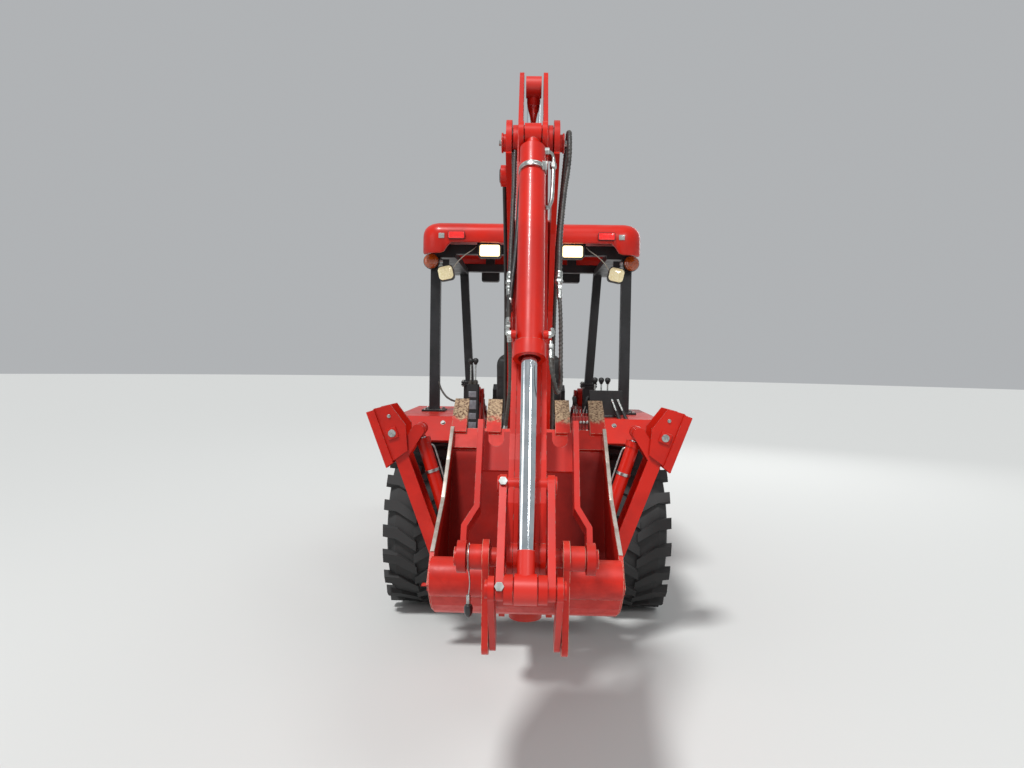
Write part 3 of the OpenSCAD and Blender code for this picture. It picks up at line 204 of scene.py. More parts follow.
@dataclass(frozen=True)
class Finish:
    """A surface: what it is made of, and how use has marked it. Sizes are in millimetres."""

    name: str
    colour: str
    shade: str
    slot: str = "matt_black"
    roughness: float = 0.4
    metallic: float = 0.0
    coat: float = 0.0
    coat_roughness: float = 0.08
    specular: float = 0.5
    mottle_mm: float = 90.0
    grain_mm: float = 2.0
    grain_depth: float = 0.02
    edge_mm: float = 2.5
    chip_mm: float = 28.0
    cloud_mm: float = 160.0
    worn: str = "#8A8178"
    wear: float = 0.0
    dust: str = "#A08D74"
    dust_share: float = 0.0
    dust_height: float = 0.9
    glow: float = 0.0
    painted_near: tuple[Vector, Triple, float] | None = None

    def build(self) -> bpy.types.Material:
        """Makes the material.

        Returns:
            The material, or the one of this name that is there already.
        """
        made = bpy.data.materials.get(self.name)
        if made:
            return made
        made = bpy.data.materials.new(self.name)
        made.use_nodes = True
        made.node_tree.nodes.clear()
        kit = Shading(made.node_tree)
        shader = kit.add("ShaderNodeBsdfPrincipled", {
            "Metallic": self.metallic, "Specular IOR Level": self.specular,
            "Coat Weight": self.coat, "Coat Roughness": self.coat_roughness,
        })
        kit.add("ShaderNodeOutputMaterial", {0: shader.outputs[0]})
        mottle = kit.span(kit.noise(self.mottle_mm, 5), 0.35, 0.68)
        colour = kit.blend(mottle, linear(self.colour), linear(self.shade))
        smooth, dull = self.roughness * 0.85, self.roughness * 1.2
        rough = kit.span(kit.noise(self.mottle_mm * 0.5, 4), 0.3, 0.7, smooth, dull)
        bevel = kit.add("ShaderNodeBevel", {"Radius": self.edge_mm * MM}, {"samples": 4})
        round_edge = bevel.outputs[0]
        normal = kit.add("ShaderNodeNewGeometry").outputs["Normal"]
        if self.wear > 0:
            edge = kit.span(kit.vector("DOT_PRODUCT", round_edge, normal), 1.0, 0.90)
            noise = kit.noise(self.chip_mm, 6)
            patch = kit.span(noise, 0.62 - 0.25 * self.wear, 0.66 - 0.2 * self.wear)
            colour = kit.blend(kit.calc("MULTIPLY", edge, patch), colour, linear(self.worn))
        colour, rough = self._marks(kit, shader, colour, rough, normal)
        if self.dust_share > 0:
            colour, rough = self._dusted(kit, colour, rough, normal)
        kit.feed(shader, "Base Color", colour)
        kit.feed(shader, "Roughness", rough)
        grain = kit.add("ShaderNodeBump", {
            "Strength": 0.6, "Distance": self.grain_depth * MM,
            "Height": kit.noise(self.grain_mm, 3), "Normal": round_edge,
        })
        kit.feed(shader, "Normal", grain.outputs[0])
        if self.glow:
            shader.inputs["Emission Color"].default_value = linear(self.colour)
            shader.inputs["Emission Strength"].default_value = self.glow
        return made

    def _dusted(
        self, kit: Shading, colour: Socket, rough: Socket, normal: Socket
    ) -> tuple[Socket, Socket]:
        """Lays dust in clouds on the lower parts and on faces that look up.

        Args:
            kit: The material's tree.
            colour: The colour so far.
            rough: The roughness so far.
            normal: The surface's direction.

        Returns:
            The dusted colour and roughness.
        """
        low = kit.span(kit.axis(kit.spot(), "Z"), self.dust_height, 0.1)
        flat = kit.span(kit.axis(normal, "Z"), 0.55, 1.0, 0.0, 0.5)
        cloud = kit.span(kit.noise(self.cloud_mm, 7, (1, 1, 0.45)), 0.3, 0.75)
        clouded = [kit.calc("MULTIPLY", part, cloud) for part in (low, flat)]
        amount = kit.calc("MULTIPLY", kit.calc("ADD", *clouded), self.dust_share)
        rougher = kit.calc("ADD", rough, kit.calc("MULTIPLY", amount, 0.5))
        return kit.blend(amount, colour, linear(self.dust)), rougher

    def _marks(
        self, kit: Shading, shader: bpy.types.Node, colour: Socket, rough: Socket, normal: Socket
    ) -> tuple[Socket, Socket]:
        """Adds the marks that only this surface has, here paint near a rod's eye.

        Args:
            kit: The material's tree.
            shader: Its surface shader.
            colour: The colour so far.
            rough: The roughness so far.
            normal: The surface's direction.

        Returns:
            The marked colour and roughness.
        """
        if not self.painted_near:
            return colour, rough
        centre, mask, radius = self.painted_near
        apart = kit.vector("MULTIPLY", kit.vector("SUBTRACT", kit.spot(), tuple(centre)), mask)
        painted = kit.span(kit.vector("LENGTH", apart), radius + 0.001, radius - 0.001)
        kit.feed(shader, "Metallic", kit.span(painted, 0.0, 1.0, self.metallic, 0.0))
        rougher = kit.calc("ADD", rough, kit.calc("MULTIPLY", painted, 0.28))
        return kit.blend(painted, colour, linear("#C4261A")), rougher


@dataclass(frozen=True)
class DiggingFinish(Finish):
    """Enamel of a bucket: painted shade darkens its inner walls; bare and rusty near the teeth."""

    mouth: float = 34.0
    roll_y: float = -2.942
    roll_z: float = 0.925
    bare_from: float = 0.735
    inner_x: float = 0.292

    def _marks(
        self, kit: Shading, shader: bpy.types.Node, colour: Socket, rough: Socket, normal: Socket
    ) -> tuple[Socket, Socket]:
        """Paints shade on the inner walls, with dimmer reflections there, and bares the teeth.

        Args:
            kit: The material's tree.
            shader: Its surface shader.
            colour: The colour so far.
            rough: The roughness so far.
            normal: The surface's direction.

        Returns:
            The marked colour and roughness.
        """
        a = math.radians(self.mouth)
        along, deep = (0.0, math.cos(a), math.sin(a)), (0.0, math.sin(a), -math.cos(a))
        moved = kit.vector("SUBTRACT", kit.spot(), (0.0, self.roll_y, self.roll_z))
        depth = kit.span(kit.vector("DOT_PRODUCT", moved, deep), 0.012, 0.06)
        back = kit.span(kit.vector("DOT_PRODUCT", normal, tuple(-v for v in deep)), 0.0, 0.2)
        sideways = kit.span(kit.calc("ABSOLUTE", kit.axis(normal, "X"), held=False), 0.6, 0.8)
        off_middle = kit.calc("ABSOLUTE", kit.axis(kit.spot(), "X"), held=False)
        inside = kit.span(off_middle, self.inner_x, self.inner_x - 0.002)
        wall = kit.calc("MULTIPLY", sideways, inside)
        within = kit.calc("MULTIPLY", depth, kit.calc("ADD", wall, back))
        # Painted shade: the inner walls take two dark reds, mottled, and lose most of their
        # reflections
        painted_shade_mottle = kit.span(kit.noise(130, 6), 0.3, 0.7)
        dull = kit.blend(painted_shade_mottle, linear("#80110A"), linear("#660C07"))
        specular = kit.span(within, 0.0, 1.0, self.specular, 0.12)
        kit.feed(shader, "Specular IOR Level", specular)
        kit.feed(shader, "Coat Weight", kit.span(within, 0.0, 1.0, self.coat, 0.0))
        colour = kit.blend(kit.calc("MULTIPLY", within, 0.9), colour, dull)
        ragged = kit.calc("MULTIPLY", kit.noise(40, 6), 0.13)
        past = kit.calc("ADD", kit.vector("DOT_PRODUCT", moved, along), ragged, held=False)
        bare = kit.span(past, self.bare_from + 0.055, self.bare_from + 0.095)
        rust = kit.span(kit.noise(9, 10), 0.4, 0.64)
        metal = kit.blend(rust, linear("#B39B7C"), linear("#54382A"))
        rougher = kit.calc("ADD", rough, kit.calc("MULTIPLY", bare, 0.35))
        return kit.blend(bare, colour, metal), rougher


def painted_eye(name: str, eye: Triple, radius: float, mask: Triple = (1, 1, 1)) -> Finish:
    """A rod's chrome with the machine's paint within radius metres of its end eye."""
    return replace(ROD_CHROME, name=name, painted_near=(place(*eye), mask, radius))


# Sprayed alkyd enamel over plate: an even vermilion, softly glossy, with chips along its edges
ENAMEL = Finish(
    "vermilion_enamel", "#C41C0A", "#AE1506", "machine_red", roughness=0.36, coat=0.1,
    specular=0.3, wear=0.35, dust_share=0.22, mottle_mm=240, grain_mm=2.2, grain_depth=0.02,
)
# The same enamel where soil has rubbed it: the digging bucket, bare at its lip and teeth, with
# painted shade on its inner walls
BUCKET_ENAMEL = DiggingFinish(
    "scoured_bucket_enamel", "#C4200F", "#AE190B", "machine_red", roughness=0.44, coat=0.08,
    specular=0.35, wear=0.9, dust_share=0.2, mottle_mm=60, worn="#CDBBA4",
)
# Semi-gloss black powder coat on frames, posts and consoles
POWDER_BLACK = Finish(
    "black_powder_coat", "#131416", "#1B1C1F", roughness=0.42, wear=0.2, worn="#4B4743",
    dust_share=0.22, mottle_mm=120,
)
# Black paint on the cylinders' barrels
BARREL_BLACK = Finish(
    "black_barrel_paint", "#121315", "#1A1B1D", roughness=0.32, coat=0.3, wear=0.2,
    worn="#5A544C", dust_share=0.2,
)
# Vulcanised tyre rubber, dull, with road dust in the tread
TYRE_RUBBER = Finish(
    "tyre_rubber", "#1B1D1D", "#252727", roughness=0.78, mottle_mm=70, grain_mm=1.5,
    grain_depth=0.08, edge_mm=5, dust="#59554C", dust_share=0.4, dust_height=1.3,
)
# Ground and hard-chromed rod, and the same rods with their end eyes in the machine's paint
ROD_CHROME = Finish(
    "hard_chrome", "#DCE2E6", "#C6CFD4", "worn_steel", roughness=0.09, metallic=1.0,
    mottle_mm=40, grain_mm=6, grain_depth=0.003, edge_mm=1,
)
BUCKET_ROD = painted_eye("bucket_rod_chrome", (0, -2968.1, 1034.8), 0.097)
DIPPER_ROD = painted_eye("dipper_rod_chrome", (0, -2078.8, 2592.9), 0.062)
BOOM_ROD = painted_eye("boom_rod_chrome", (0, -1435, 1500), 0.058)
LIFT_ROD = painted_eye("lift_rod_chrome", (0, 2040, 900), 0.05, (0, 1, 1))
TILT_ROD = painted_eye("tilt_rod_chrome", (0, 2975, 570), 0.046, (0, 1, 1))
LEFT_STABILIZER_ROD = painted_eye("left_stabilizer_rod_chrome", (-592, -840, 1215), 0.05)
RIGHT_STABILIZER_ROD = painted_eye("right_stabilizer_rod_chrome", (592, -840, 1215), 0.05)
# Zinc-plated steel of fittings and fasteners, a little dull
ZINC = Finish(
    "zinc_plate", "#C4C7C5", "#9A9C98", "worn_steel", roughness=0.32, metallic=1.0,
    mottle_mm=12, grain_mm=1.2, edge_mm=0.8,
)
# Bare ground steel where a lip or an edge has been scoured bright
SCOURED_STEEL = Finish(
    "scoured_steel", "#D9D2C8", "#B9AEA0", "worn_steel", roughness=0.38, metallic=0.7,
    mottle_mm=30, grain_mm=3, grain_depth=0.12, edge_mm=0.8,
)
# Cast iron of the engine under a thin grey paint
CAST_GREY = Finish(
    "grey_cast_iron", "#5E6163", "#484B4E", "worn_steel", roughness=0.6, mottle_mm=40,
    grain_mm=2, grain_depth=0.1, dust_share=0.4,
)
# Rough red castings of the valve bank
CAST_RED = Finish(
    "painted_casting", "#8E1B14", "#6F120D", "machine_red", roughness=0.5, coat=0.1,
    mottle_mm=25, grain_mm=1.8, grain_depth=0.12, wear=0.3, dust_share=0.3,
)
# Moulded black plastic with a fine spark texture
MOULDED_BLACK = Finish(
    "moulded_plastic", "#151617", "#1C1D1E", roughness=0.5, mottle_mm=60, grain_mm=1.0,
    grain_depth=0.05,
)
# Embossed seat vinyl
SEAT_VINYL = Finish(
    "seat_vinyl", "#141415", "#1D1D1E", "seat_vinyl", roughness=0.48, mottle_mm=120,
    grain_mm=2.2, grain_depth=0.16, edge_mm=3,
)
# Oil-proof hose cover, the dustier spiral guard over it, and a wire's pale cover
HOSE_RUBBER = Finish(
    "hose_rubber", "#151516", "#202122", roughness=0.5, mottle_mm=20, grain_mm=1.2,
    grain_depth=0.06, dust_share=0.2, dust_height=2.6,
)
SPIRAL_GUARD = Finish(
    "spiral_guard", "#2A2B2C", "#3D3B38", roughness=0.45, mottle_mm=14, grain_mm=1.5,
    grain_depth=0.05, dust_share=0.3, dust_height=2.6,
)
LAMP_WIRE = Finish(
    "wire_cover", "#B9B4A6", "#9C978A", roughness=0.5, mottle_mm=20, grain_mm=1.0
)
# Moulded polycarbonate lenses, and a dial's white face under its glass
LIT_LENS = Finish(
    "lit_lens", "#FFE2A6", "#FFCB70", "lamp_lens", roughness=0.15, coat=1.0, glow=2.3,
    mottle_mm=30,
)
CREAM_LENS = Finish(
    "cream_lens", "#E9DDB4", "#D6C68F", "lamp_lens", roughness=0.12, coat=1.0, glow=0.25,
    mottle_mm=9, grain_mm=6, grain_depth=0.3,
)
RED_LENS = Finish(
    "red_lens", "#B3100F", "#D8201A", "lamp_lens", roughness=0.15, coat=1.0, glow=0.8,
    mottle_mm=8, grain_mm=5, grain_depth=0.3,
)
AMBER_LENS = replace(RED_LENS, name="amber_lens", colour="#A8480C", shade="#7C2E06", glow=0.05)
DIAL_FACE = Finish(
    "dial_face", "#E4E4DE", "#D5D5CF", "lamp_lens", roughness=0.3, coat=1.0, mottle_mm=30
)
# Matt grey reflecting strip, and pale blank plates
GREY_REFLECTOR = Finish(
    "grey_reflector", "#9FA2A0", "#83867F", "worn_steel", roughness=0.25, coat=0.6,
    mottle_mm=6, grain_mm=3, grain_depth=0.2,
)
BLANK_PLATE = Finish(
    "blank_plate", "#8C8D92", "#75767C", "worn_steel", roughness=0.4, metallic=0.6,
    mottle_mm=20, grain_mm=1.5,
)

# What each CAD node is painted with. Nodes that aren't named here are in the machine's enamel
NODE_FINISHES: dict[str, Finish] = {
    node: finish
    for finish, nodes in (
        (BUCKET_ENAMEL, "backhoe_bucket"),
        (POWDER_BLACK, "chassis rear_axle platform front_axle knuckle_left knuckle_right"),
        (POWDER_BLACK, "roof_posts seat_base grille tie_rod"),
        (BARREL_BLACK, "lift_barrels tilt_barrels boom_barrel dipper_barrel"),
        (TYRE_RUBBER, "front_tyre_left front_tyre_right rear_tyre_left rear_tyre_right"),
        (LEFT_STABILIZER_ROD, "stabilizer_rod_left"),
        (RIGHT_STABILIZER_ROD, "stabilizer_rod_right"),
        (LIFT_ROD, "lift_rods"),
        (TILT_ROD, "tilt_rods"),
        (BOOM_ROD, "boom_rod"),
        (DIPPER_ROD, "dipper_rod"),
        (BUCKET_ROD, "bucket_rod"),
        (MOULDED_BLACK, "cowl steering_wheel control_console lamps"),
        (CAST_GREY, "engine_block"),
        (SEAT_VINYL, "seat"),
        (ZINC, "levers"),
    )
    for node in nodes.split()
}


def link_object(name: str, data: bpy.types.ID) -> bpy.types.Object:
    """Makes an object of data and links it to the scene.

    Args:
        name: The object's name.
        data: Its mesh, lamp or camera.

    Returns:
        The object.
    """
    made = bpy.data.objects.new(name, data)
    bpy.context.scene.collection.objects.link(made)
    return made


def evaluated_mesh(source: bpy.types.Object) -> bpy.types.Mesh:
    """A mesh of an object as its modifiers leave it."""
    depsgraph = bpy.context.evaluated_depsgraph_get()
    return bpy.data.meshes.new_from_object(source.evaluated_get(depsgraph))


def mesh_piece(
    name: str, shape: Shape, finish: Finish, body: str | None, slot: str | None = None
) -> bpy.types.Object:
    """Turns a finished shape into a piece that rides on a body.

    Args:
        name: The piece's name.
        shape: The shape in metres in the row frame. It is freed.
        finish: What it is made of.
        body: The CAD body that carries it, or none for a piece that rides on no body.
        slot: A material slot's name, passed on to finish_piece.

    Returns:
        The piece.
    """
    bmesh.ops.recalc_face_normals(shape, faces=shape.faces)
    mesh = bpy.data.meshes.new(name)
    shape.to_mesh(mesh)
    shape.free()
    return finish_piece(name, mesh, finish, body, slot)


def finish_piece(
    name: str, mesh: bpy.types.Mesh, finish: Finish, body: str | None, slot: str | None = None
) -> bpy.types.Object:
    """Links a mesh as a piece with its material, and makes it ride on its body.

    Args:
        name: The piece's name.
        mesh: Its mesh, in metres in the row frame.
        finish: What it is made of.
        body: The CAD body that carries it, or none for a piece that rides on no body.
        slot: Not used.

    Returns:
        The piece.
    """
    piece = link_object(name, mesh)
    mesh.materials.clear()
    mesh.materials.append(finish.build())
    mesh.shade_smooth()
    mesh.set_sharp_from_angle(angle=math.radians(CREASE_DEGREES))
    if body:
        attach(piece, body)
    slot or finish.slot
    LOG.info("%s: %d faces on %s", name, len(mesh.polygons), body)
    return piece


def skin(shape: Shape, rings: Sequence[Sequence[bmesh.types.BMVert]]) -> None:
    """Joins rings of vertices by faces and closes both ends.

    Args:
        shape: The shape that has the rings.
        rings: Rings of one count, from one end to the other.
    """
    for low, high in zip(rings, rings[1:]):
        for i in range(len(low)):
            j = (i + 1) % len(low)
            shape.faces.new((low[i], low[j], high[j], high[i]))
    shape.faces.new(rings[0][::-1])
    shape.faces.new(rings[-1])


def turned(
    shape: Shape, base: Vector, axis: Vector, profile: Sequence[tuple[float, float]], count: int
) -> None:
    """Adds a turned solid to a shape.

    Args:
        shape: The shape that grows.
        base: Where the axis starts, in metres.
        axis: The direction of the axis.
        profile: Pairs of distance along the axis and radius, in millimetres, from end to end.
        count: Facets round.
    """
    turn = axis.to_track_quat("Z", "Y").to_matrix()
    angles = [2 * math.pi * i / count for i in range(count)]
    rings = []
    for along, radius in profile:
        r = radius * MM
        spots = [Vector((r * math.cos(a), r * math.sin(a), along * MM)) for a in angles]
        rings.append([shape.verts.new(base + turn @ spot) for spot in spots])
    skin(shape, rings)


def scatter_tree(name: str, numbers: Sequence[str], pattern: Pattern) -> bpy.types.GeometryNodeTree:
    """Makes a node tree that puts a copy of one form on each point of a mesh.

    Args:
        name: The tree's name.
        numbers: The names of its number inputs.
        pattern: Adds the form's nodes, and returns the form's and its rotation's sockets.

    Returns:
        The tree.
    """
    tree = bpy.data.node_groups.new(name, "GeometryNodeTree")
    tree.interface.new_socket("Geometry", in_out="INPUT", socket_type="NodeSocketGeometry")
    for label in numbers:
        tree.interface.new_socket(label, in_out="INPUT", socket_type="NodeSocketFloat")
    tree.interface.new_socket("Finish", in_out="INPUT", socket_type="NodeSocketMaterial")
    tree.interface.new_socket("Geometry", in_out="OUTPUT", socket_type="NodeSocketGeometry")
    given = add_node(tree, "NodeGroupInput").outputs
    form, turn = pattern(tree, given)
    points = add_node(tree, "GeometryNodeMeshToPoints", {"Mesh": given["Geometry"]})
    placed = add_node(
        tree, "GeometryNodeInstanceOnPoints",
        {"Points": points.outputs[0], "Instance": form, "Rotation": turn},
    )
    solid = add_node(tree, "GeometryNodeRealizeInstances", {"Geometry": placed.outputs[0]})
    links = {"Geometry": solid.outputs[0], "Material": given["Finish"]}
    painted = add_node(tree, "GeometryNodeSetMaterial", links)
    add_node(tree, "NodeGroupOutput", {0: painted.outputs[0]})
    return tree


def grown_piece(
    name: str, seeds: bpy.types.Mesh, tree: bpy.types.GeometryNodeTree, values: dict[str, float],
    finish: Finish, body: str,
) -> bpy.types.Object:
    """Runs a geometry node tree over seeds and keeps the result as a plain piece.

    Args:
        name: The piece's name.
        seeds: The mesh that the tree starts from.
        tree: The geometry node tree.
        values: The tree's number inputs by name, in metres.
        finish: The piece's finish.
        body: The CAD body that carries it.

    Returns:
        The piece.
    """
    carrier = link_object(name + "_seeds", seeds)
    modifier = carrier.modifiers.new("grow", "NODES")
    modifier.node_group = tree
    sockets = {
        item.name: item.identifier
        for item in tree.interface.items_tree
        if item.item_type == "SOCKET" and item.in_out == "INPUT"
    }
    for label, value in {**values, "Finish": finish.build()}.items():
        modifier[sockets[label]] = value
    bpy.context.view_layer.update()
    mesh = evaluated_mesh(carrier)
    bpy.data.objects.remove(carrier)
    mesh.name = name
    return finish_piece(name, mesh, finish, body)


@dataclass
class Fasteners:
    """Hex bolt heads on washers, set out as points that face a side. Sizes in millimetres."""

    name: str
    body: str
    across: float = 20.0
    height: float = 9.0
    washer: float = 30.0
    finish: Finish = ZINC
    spots: list[tuple[Vector, Vector]] = field(default_factory=list)

    def add(self, spot: Vector, facing: Vector) -> None:
        """Adds a bolt at a spot, its head towards facing."""
        self.spots.append((spot, facing.normalized()))

    def ring(self, centre: Vector, facing: Vector, radius: float, count: int) -> None:
        """Adds a circle of bolts.

        Args:
            centre: The circle's middle, in metres.
            facing: The way that the heads face.
            radius: The circle's radius.
            count: How many bolts it has.
        """
        turn = facing.to_track_quat("Z", "Y").to_matrix()
        for i in range(count):
            angle = 2 * math.pi * (i + 0.5) / count
            spoke = turn @ Vector((math.cos(angle), math.sin(angle), 0))
            self.add(centre + spoke * radius * MM, facing)

    @staticmethod
    def _pattern(tree: bpy.types.NodeTree, given: bpy.types.NodeOutputs) -> tuple[Socket, Socket]:
        """A hex head over a thin washer, turned to the point's own direction.

        Args:
            tree: The tree that gets the nodes.
            given: The tree's inputs.

        Returns:
            The bolt's socket and its rotation's.
        """
        sizes = {"Vertices": 6, "Radius": given["Head Radius"], "Depth": given["Head Height"]}
        head = add_node(tree, "GeometryNodeMeshCylinder", sizes)
        sizes = {"Vertices": 16, "Radius": given["Washer Radius"], "Depth": 0.003}
        washer = add_node(tree, "GeometryNodeMeshCylinder", sizes)
        links = {0: given["Head Height"], 1: 0.5}
        half = add_node(tree, "ShaderNodeMath", links, {"operation": "MULTIPLY"})
        lift = add_node(tree, "ShaderNodeCombineXYZ", {"Z": half.outputs[0]})
        links = {"Geometry": head.outputs["Mesh"], "Translation": lift.outputs[0]}
        raised = add_node(tree, "GeometryNodeTransform", links)
        bolt = add_node(tree, "GeometryNodeJoinGeometry")
        tree.links.new(raised.outputs[0], bolt.inputs[0])
        tree.links.new(washer.outputs["Mesh"], bolt.inputs[0])
        kind, settings = "GeometryNodeInputNamedAttribute", {"data_type": "FLOAT_VECTOR"}
        facing = add_node(tree, kind, {"Name": "facing"}, settings)
        links = {"Vector": facing.outputs[0]}
        turn = add_node(tree, "FunctionNodeAlignEulerToVector", links, {"axis": "Z"})
        return bolt.outputs[0], turn.outputs[0]

    def build(self) -> bpy.types.Object:
        """Makes the bolts as one piece on their body.

        Returns:
            The piece.
        """
        seeds = bpy.data.meshes.new(self.name + "_spots")
        seeds.from_pydata([spot for spot, _ in self.spots], [], [])
        stored = seeds.attributes.new("facing", "FLOAT_VECTOR", "POINT")
        stored.data.foreach_set("vector", [value for _, facing in self.spots for value in facing])
        values = {
            "Head Radius": self.across * MM / 1.732, "Head Height": self.height * MM,
            "Washer Radius": self.washer * MM / 2,
        }
        tree = scatter_tree(self.name + "_bolts", tuple(values), self._pattern)
        return grown_piece(self.name, seeds, tree, values, self.finish, self.body)


def smooth_path(points: Sequence[Vector], step_mm: float) -> list[Vector]:
    """A smooth curve through points, as places that are step_mm apart.

    Args:
        points: The places that the curve passes through, in metres.
        step_mm: The distance between places on the curve.

    Returns:
        Places along the curve, its two ends among them.
    """
    ends = [points[0] * 2 - points[1], *points, points[-1] * 2 - points[-2]]
    fine: list[Vector] = []
    for a, b, c, d in zip(ends, ends[1:], ends[2:], ends[3:]):
        for i in range(CURVE_STEPS):
            t = i / CURVE_STEPS
            bend, twist = 2 * a - 5 * b + 4 * c - d, 3 * b - a - 3 * c + d
            fine.append(0.5 * ((2 * b) + (c - a) * t + bend * t**2 + twist * t**3))
    fine.append(points[-1].copy())
    lengths = [0.0]
    for a, b in zip(fine, fine[1:]):
        lengths.append(lengths[-1] + (b - a).length)
    count = max(4, round(lengths[-1] / (step_mm * MM)))
    out, k = [], 0
    for i in range(count + 1):
        want = lengths[-1] * i / count
        while k < len(fine) - 2 and lengths[k + 1] < want:
            k += 1
        part = (want - lengths[k]) / max(1e-9, lengths[k + 1] - lengths[k])
        out.append(fine[k].lerp(fine[k + 1], min(1.0, part)))
    return out


def swept(
    shape: Shape, path: Sequence[Vector], radius_mm: float, ridge_mm: float = 0.0,
    pitch_mm: float = 14.0, count: int = 12,
) -> None:
    """Adds a tube along a path, with a spiral ridge round it where one is asked for.

    Args:
        shape: The shape that grows.
        path: Places on the tube's middle line, close together.
        radius_mm: The tube's radius.
        ridge_mm: How far the ridge stands out.
        pitch_mm: The ridge's advance in one turn.
        count: Facets round.
    """
    last = len(path) - 1
    along = [(path[min(i + 1, last)] - path[max(i - 1, 0)]).normalized() for i in range(len(path))]
    across = along[0].orthogonal().normalized()
    rings, gone = [], 0.0
    for i, (spot, axis) in enumerate(zip(path, along)):
        across = (across - axis * across.dot(axis)).normalized()
        up = axis.cross(across)
        gone += (path[i] - path[i - 1]).length if i else 0.0
        ring = []
        for k in range(count):
            angle = 2 * math.pi * k / count
            wave = max(0.0, math.cos(angle - 2 * math.pi * gone / (pitch_mm * MM))) ** 2
            out = (radius_mm + (ridge_mm * wave - ridge_mm * 0.5)) * MM
            side = across * math.cos(angle) * out + up * math.sin(angle) * out
            ring.append(shape.verts.new(spot + side))
        rings.append(ring)
    skin(shape, rings)


def block(
    shape: Shape, low: Vector, high: Vector, round_mm: float, turn: Matrix | None = None
) -> None:
    """Adds a box with rounded edges.

    Args:
        shape: The shape that grows.
        low: One corner, in metres.
        high: The corner across from it.
        round_mm: The radius of its edges.
        turn: Its turn about its middle, where it has one.
    """
    size = Matrix.Diagonal((*(high - low), 1.0))
    facing = turn.to_4x4() if turn else Matrix.Identity(4)
    placed = Matrix.Translation((low + high) / 2) @ facing @ size
    made = bmesh.ops.create_cube(shape, size=1.0, matrix=placed)
    edges = list({e for v in made["verts"] for e in v.link_edges})
    bmesh.ops.bevel(
        shape, geom=edges, offset=round_mm * MM, segments=2, profile=0.6, affect="EDGES"
    )


def fitting(shape: Shape, spot: Vector, axis: Vector, bore_mm: float) -> None:
    """Adds a crimped ferrule and a hex nut at a hose's end, axis pointing out of the hose.

    Args:
        shape: The shape that grows.
        spot: Where the hose ends, in metres.
        axis: The direction out of the hose.
        bore_mm: The hose's diameter.
    """
    axis = axis.normalized()
    ferrule = (
        (0, 1.02), (0, 1.2), (5, 1.26), (7, 1.14), (11, 1.26), (13, 1.14), (17, 1.26), (24, 1.22),
        (26, 0.9),
    )
    nut = ((-1, 0.85), (2, 0.85), (3, 1.28), (5, 1.42), (16, 1.42), (18, 1.28), (19, 0.8))
    stub = ((0, 0.8), (10, 0.8))
    for start, profile, count in ((-0.026, ferrule, 16), (0.0, nut, 6), (0.018, stub, 12)):
        sized = [(along, bore_mm / 2 * share) for along, share in profile]
        turned(shape, spot + axis * start, axis, sized, count)


class Wrap(Enum):
    """What covers a hose."""

    PLAIN = "plain"
    GUARD = "guard"


@dataclass
class Hose:
    """A hydraulic hose with crimped fittings; where it joins two bodies it rides on neither."""

    name: str
    body: str
    points: list[Vector]
    diameter: float = 16.0
    wrap: Wrap = Wrap.PLAIN
    onto: str | None = None
    fitted: tuple[bool, bool] = (True, True)
    lay: str = "taut"
    zone: tuple[float, float] = (0.25, 0.75)

    def build(self) -> None:
        """Makes the hose and its fittings on its body, or on no body where it joins two."""
        guarded = self.wrap is Wrap.GUARD
        path = smooth_path(self.points, 3.5 if guarded else 6.0)
        shape, ends = bmesh.new(), bmesh.new()
        swept(shape, path, self.diameter / 2, 1.6 if guarded else 0.0, 13.0, 14)
        carrier = None if self.onto else self.body
        hose = mesh_piece(self.name, shape, SPIRAL_GUARD if guarded else HOSE_RUBBER, carrier)
        if self.fitted[0]:
            fitting(ends, path[0], path[0] - path[3], self.diameter)
        if self.fitted[1]:
            fitting(ends, path[-1], path[-1] - path[-4], self.diameter)
        fittings = mesh_piece(self.name + "_fittings", ends, ZINC, carrier)
        if self.onto:
            start, end = (tuple(path[round(share * len(path))]) for share in self.zone)
            for piece in (hose, fittings):
                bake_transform(piece)


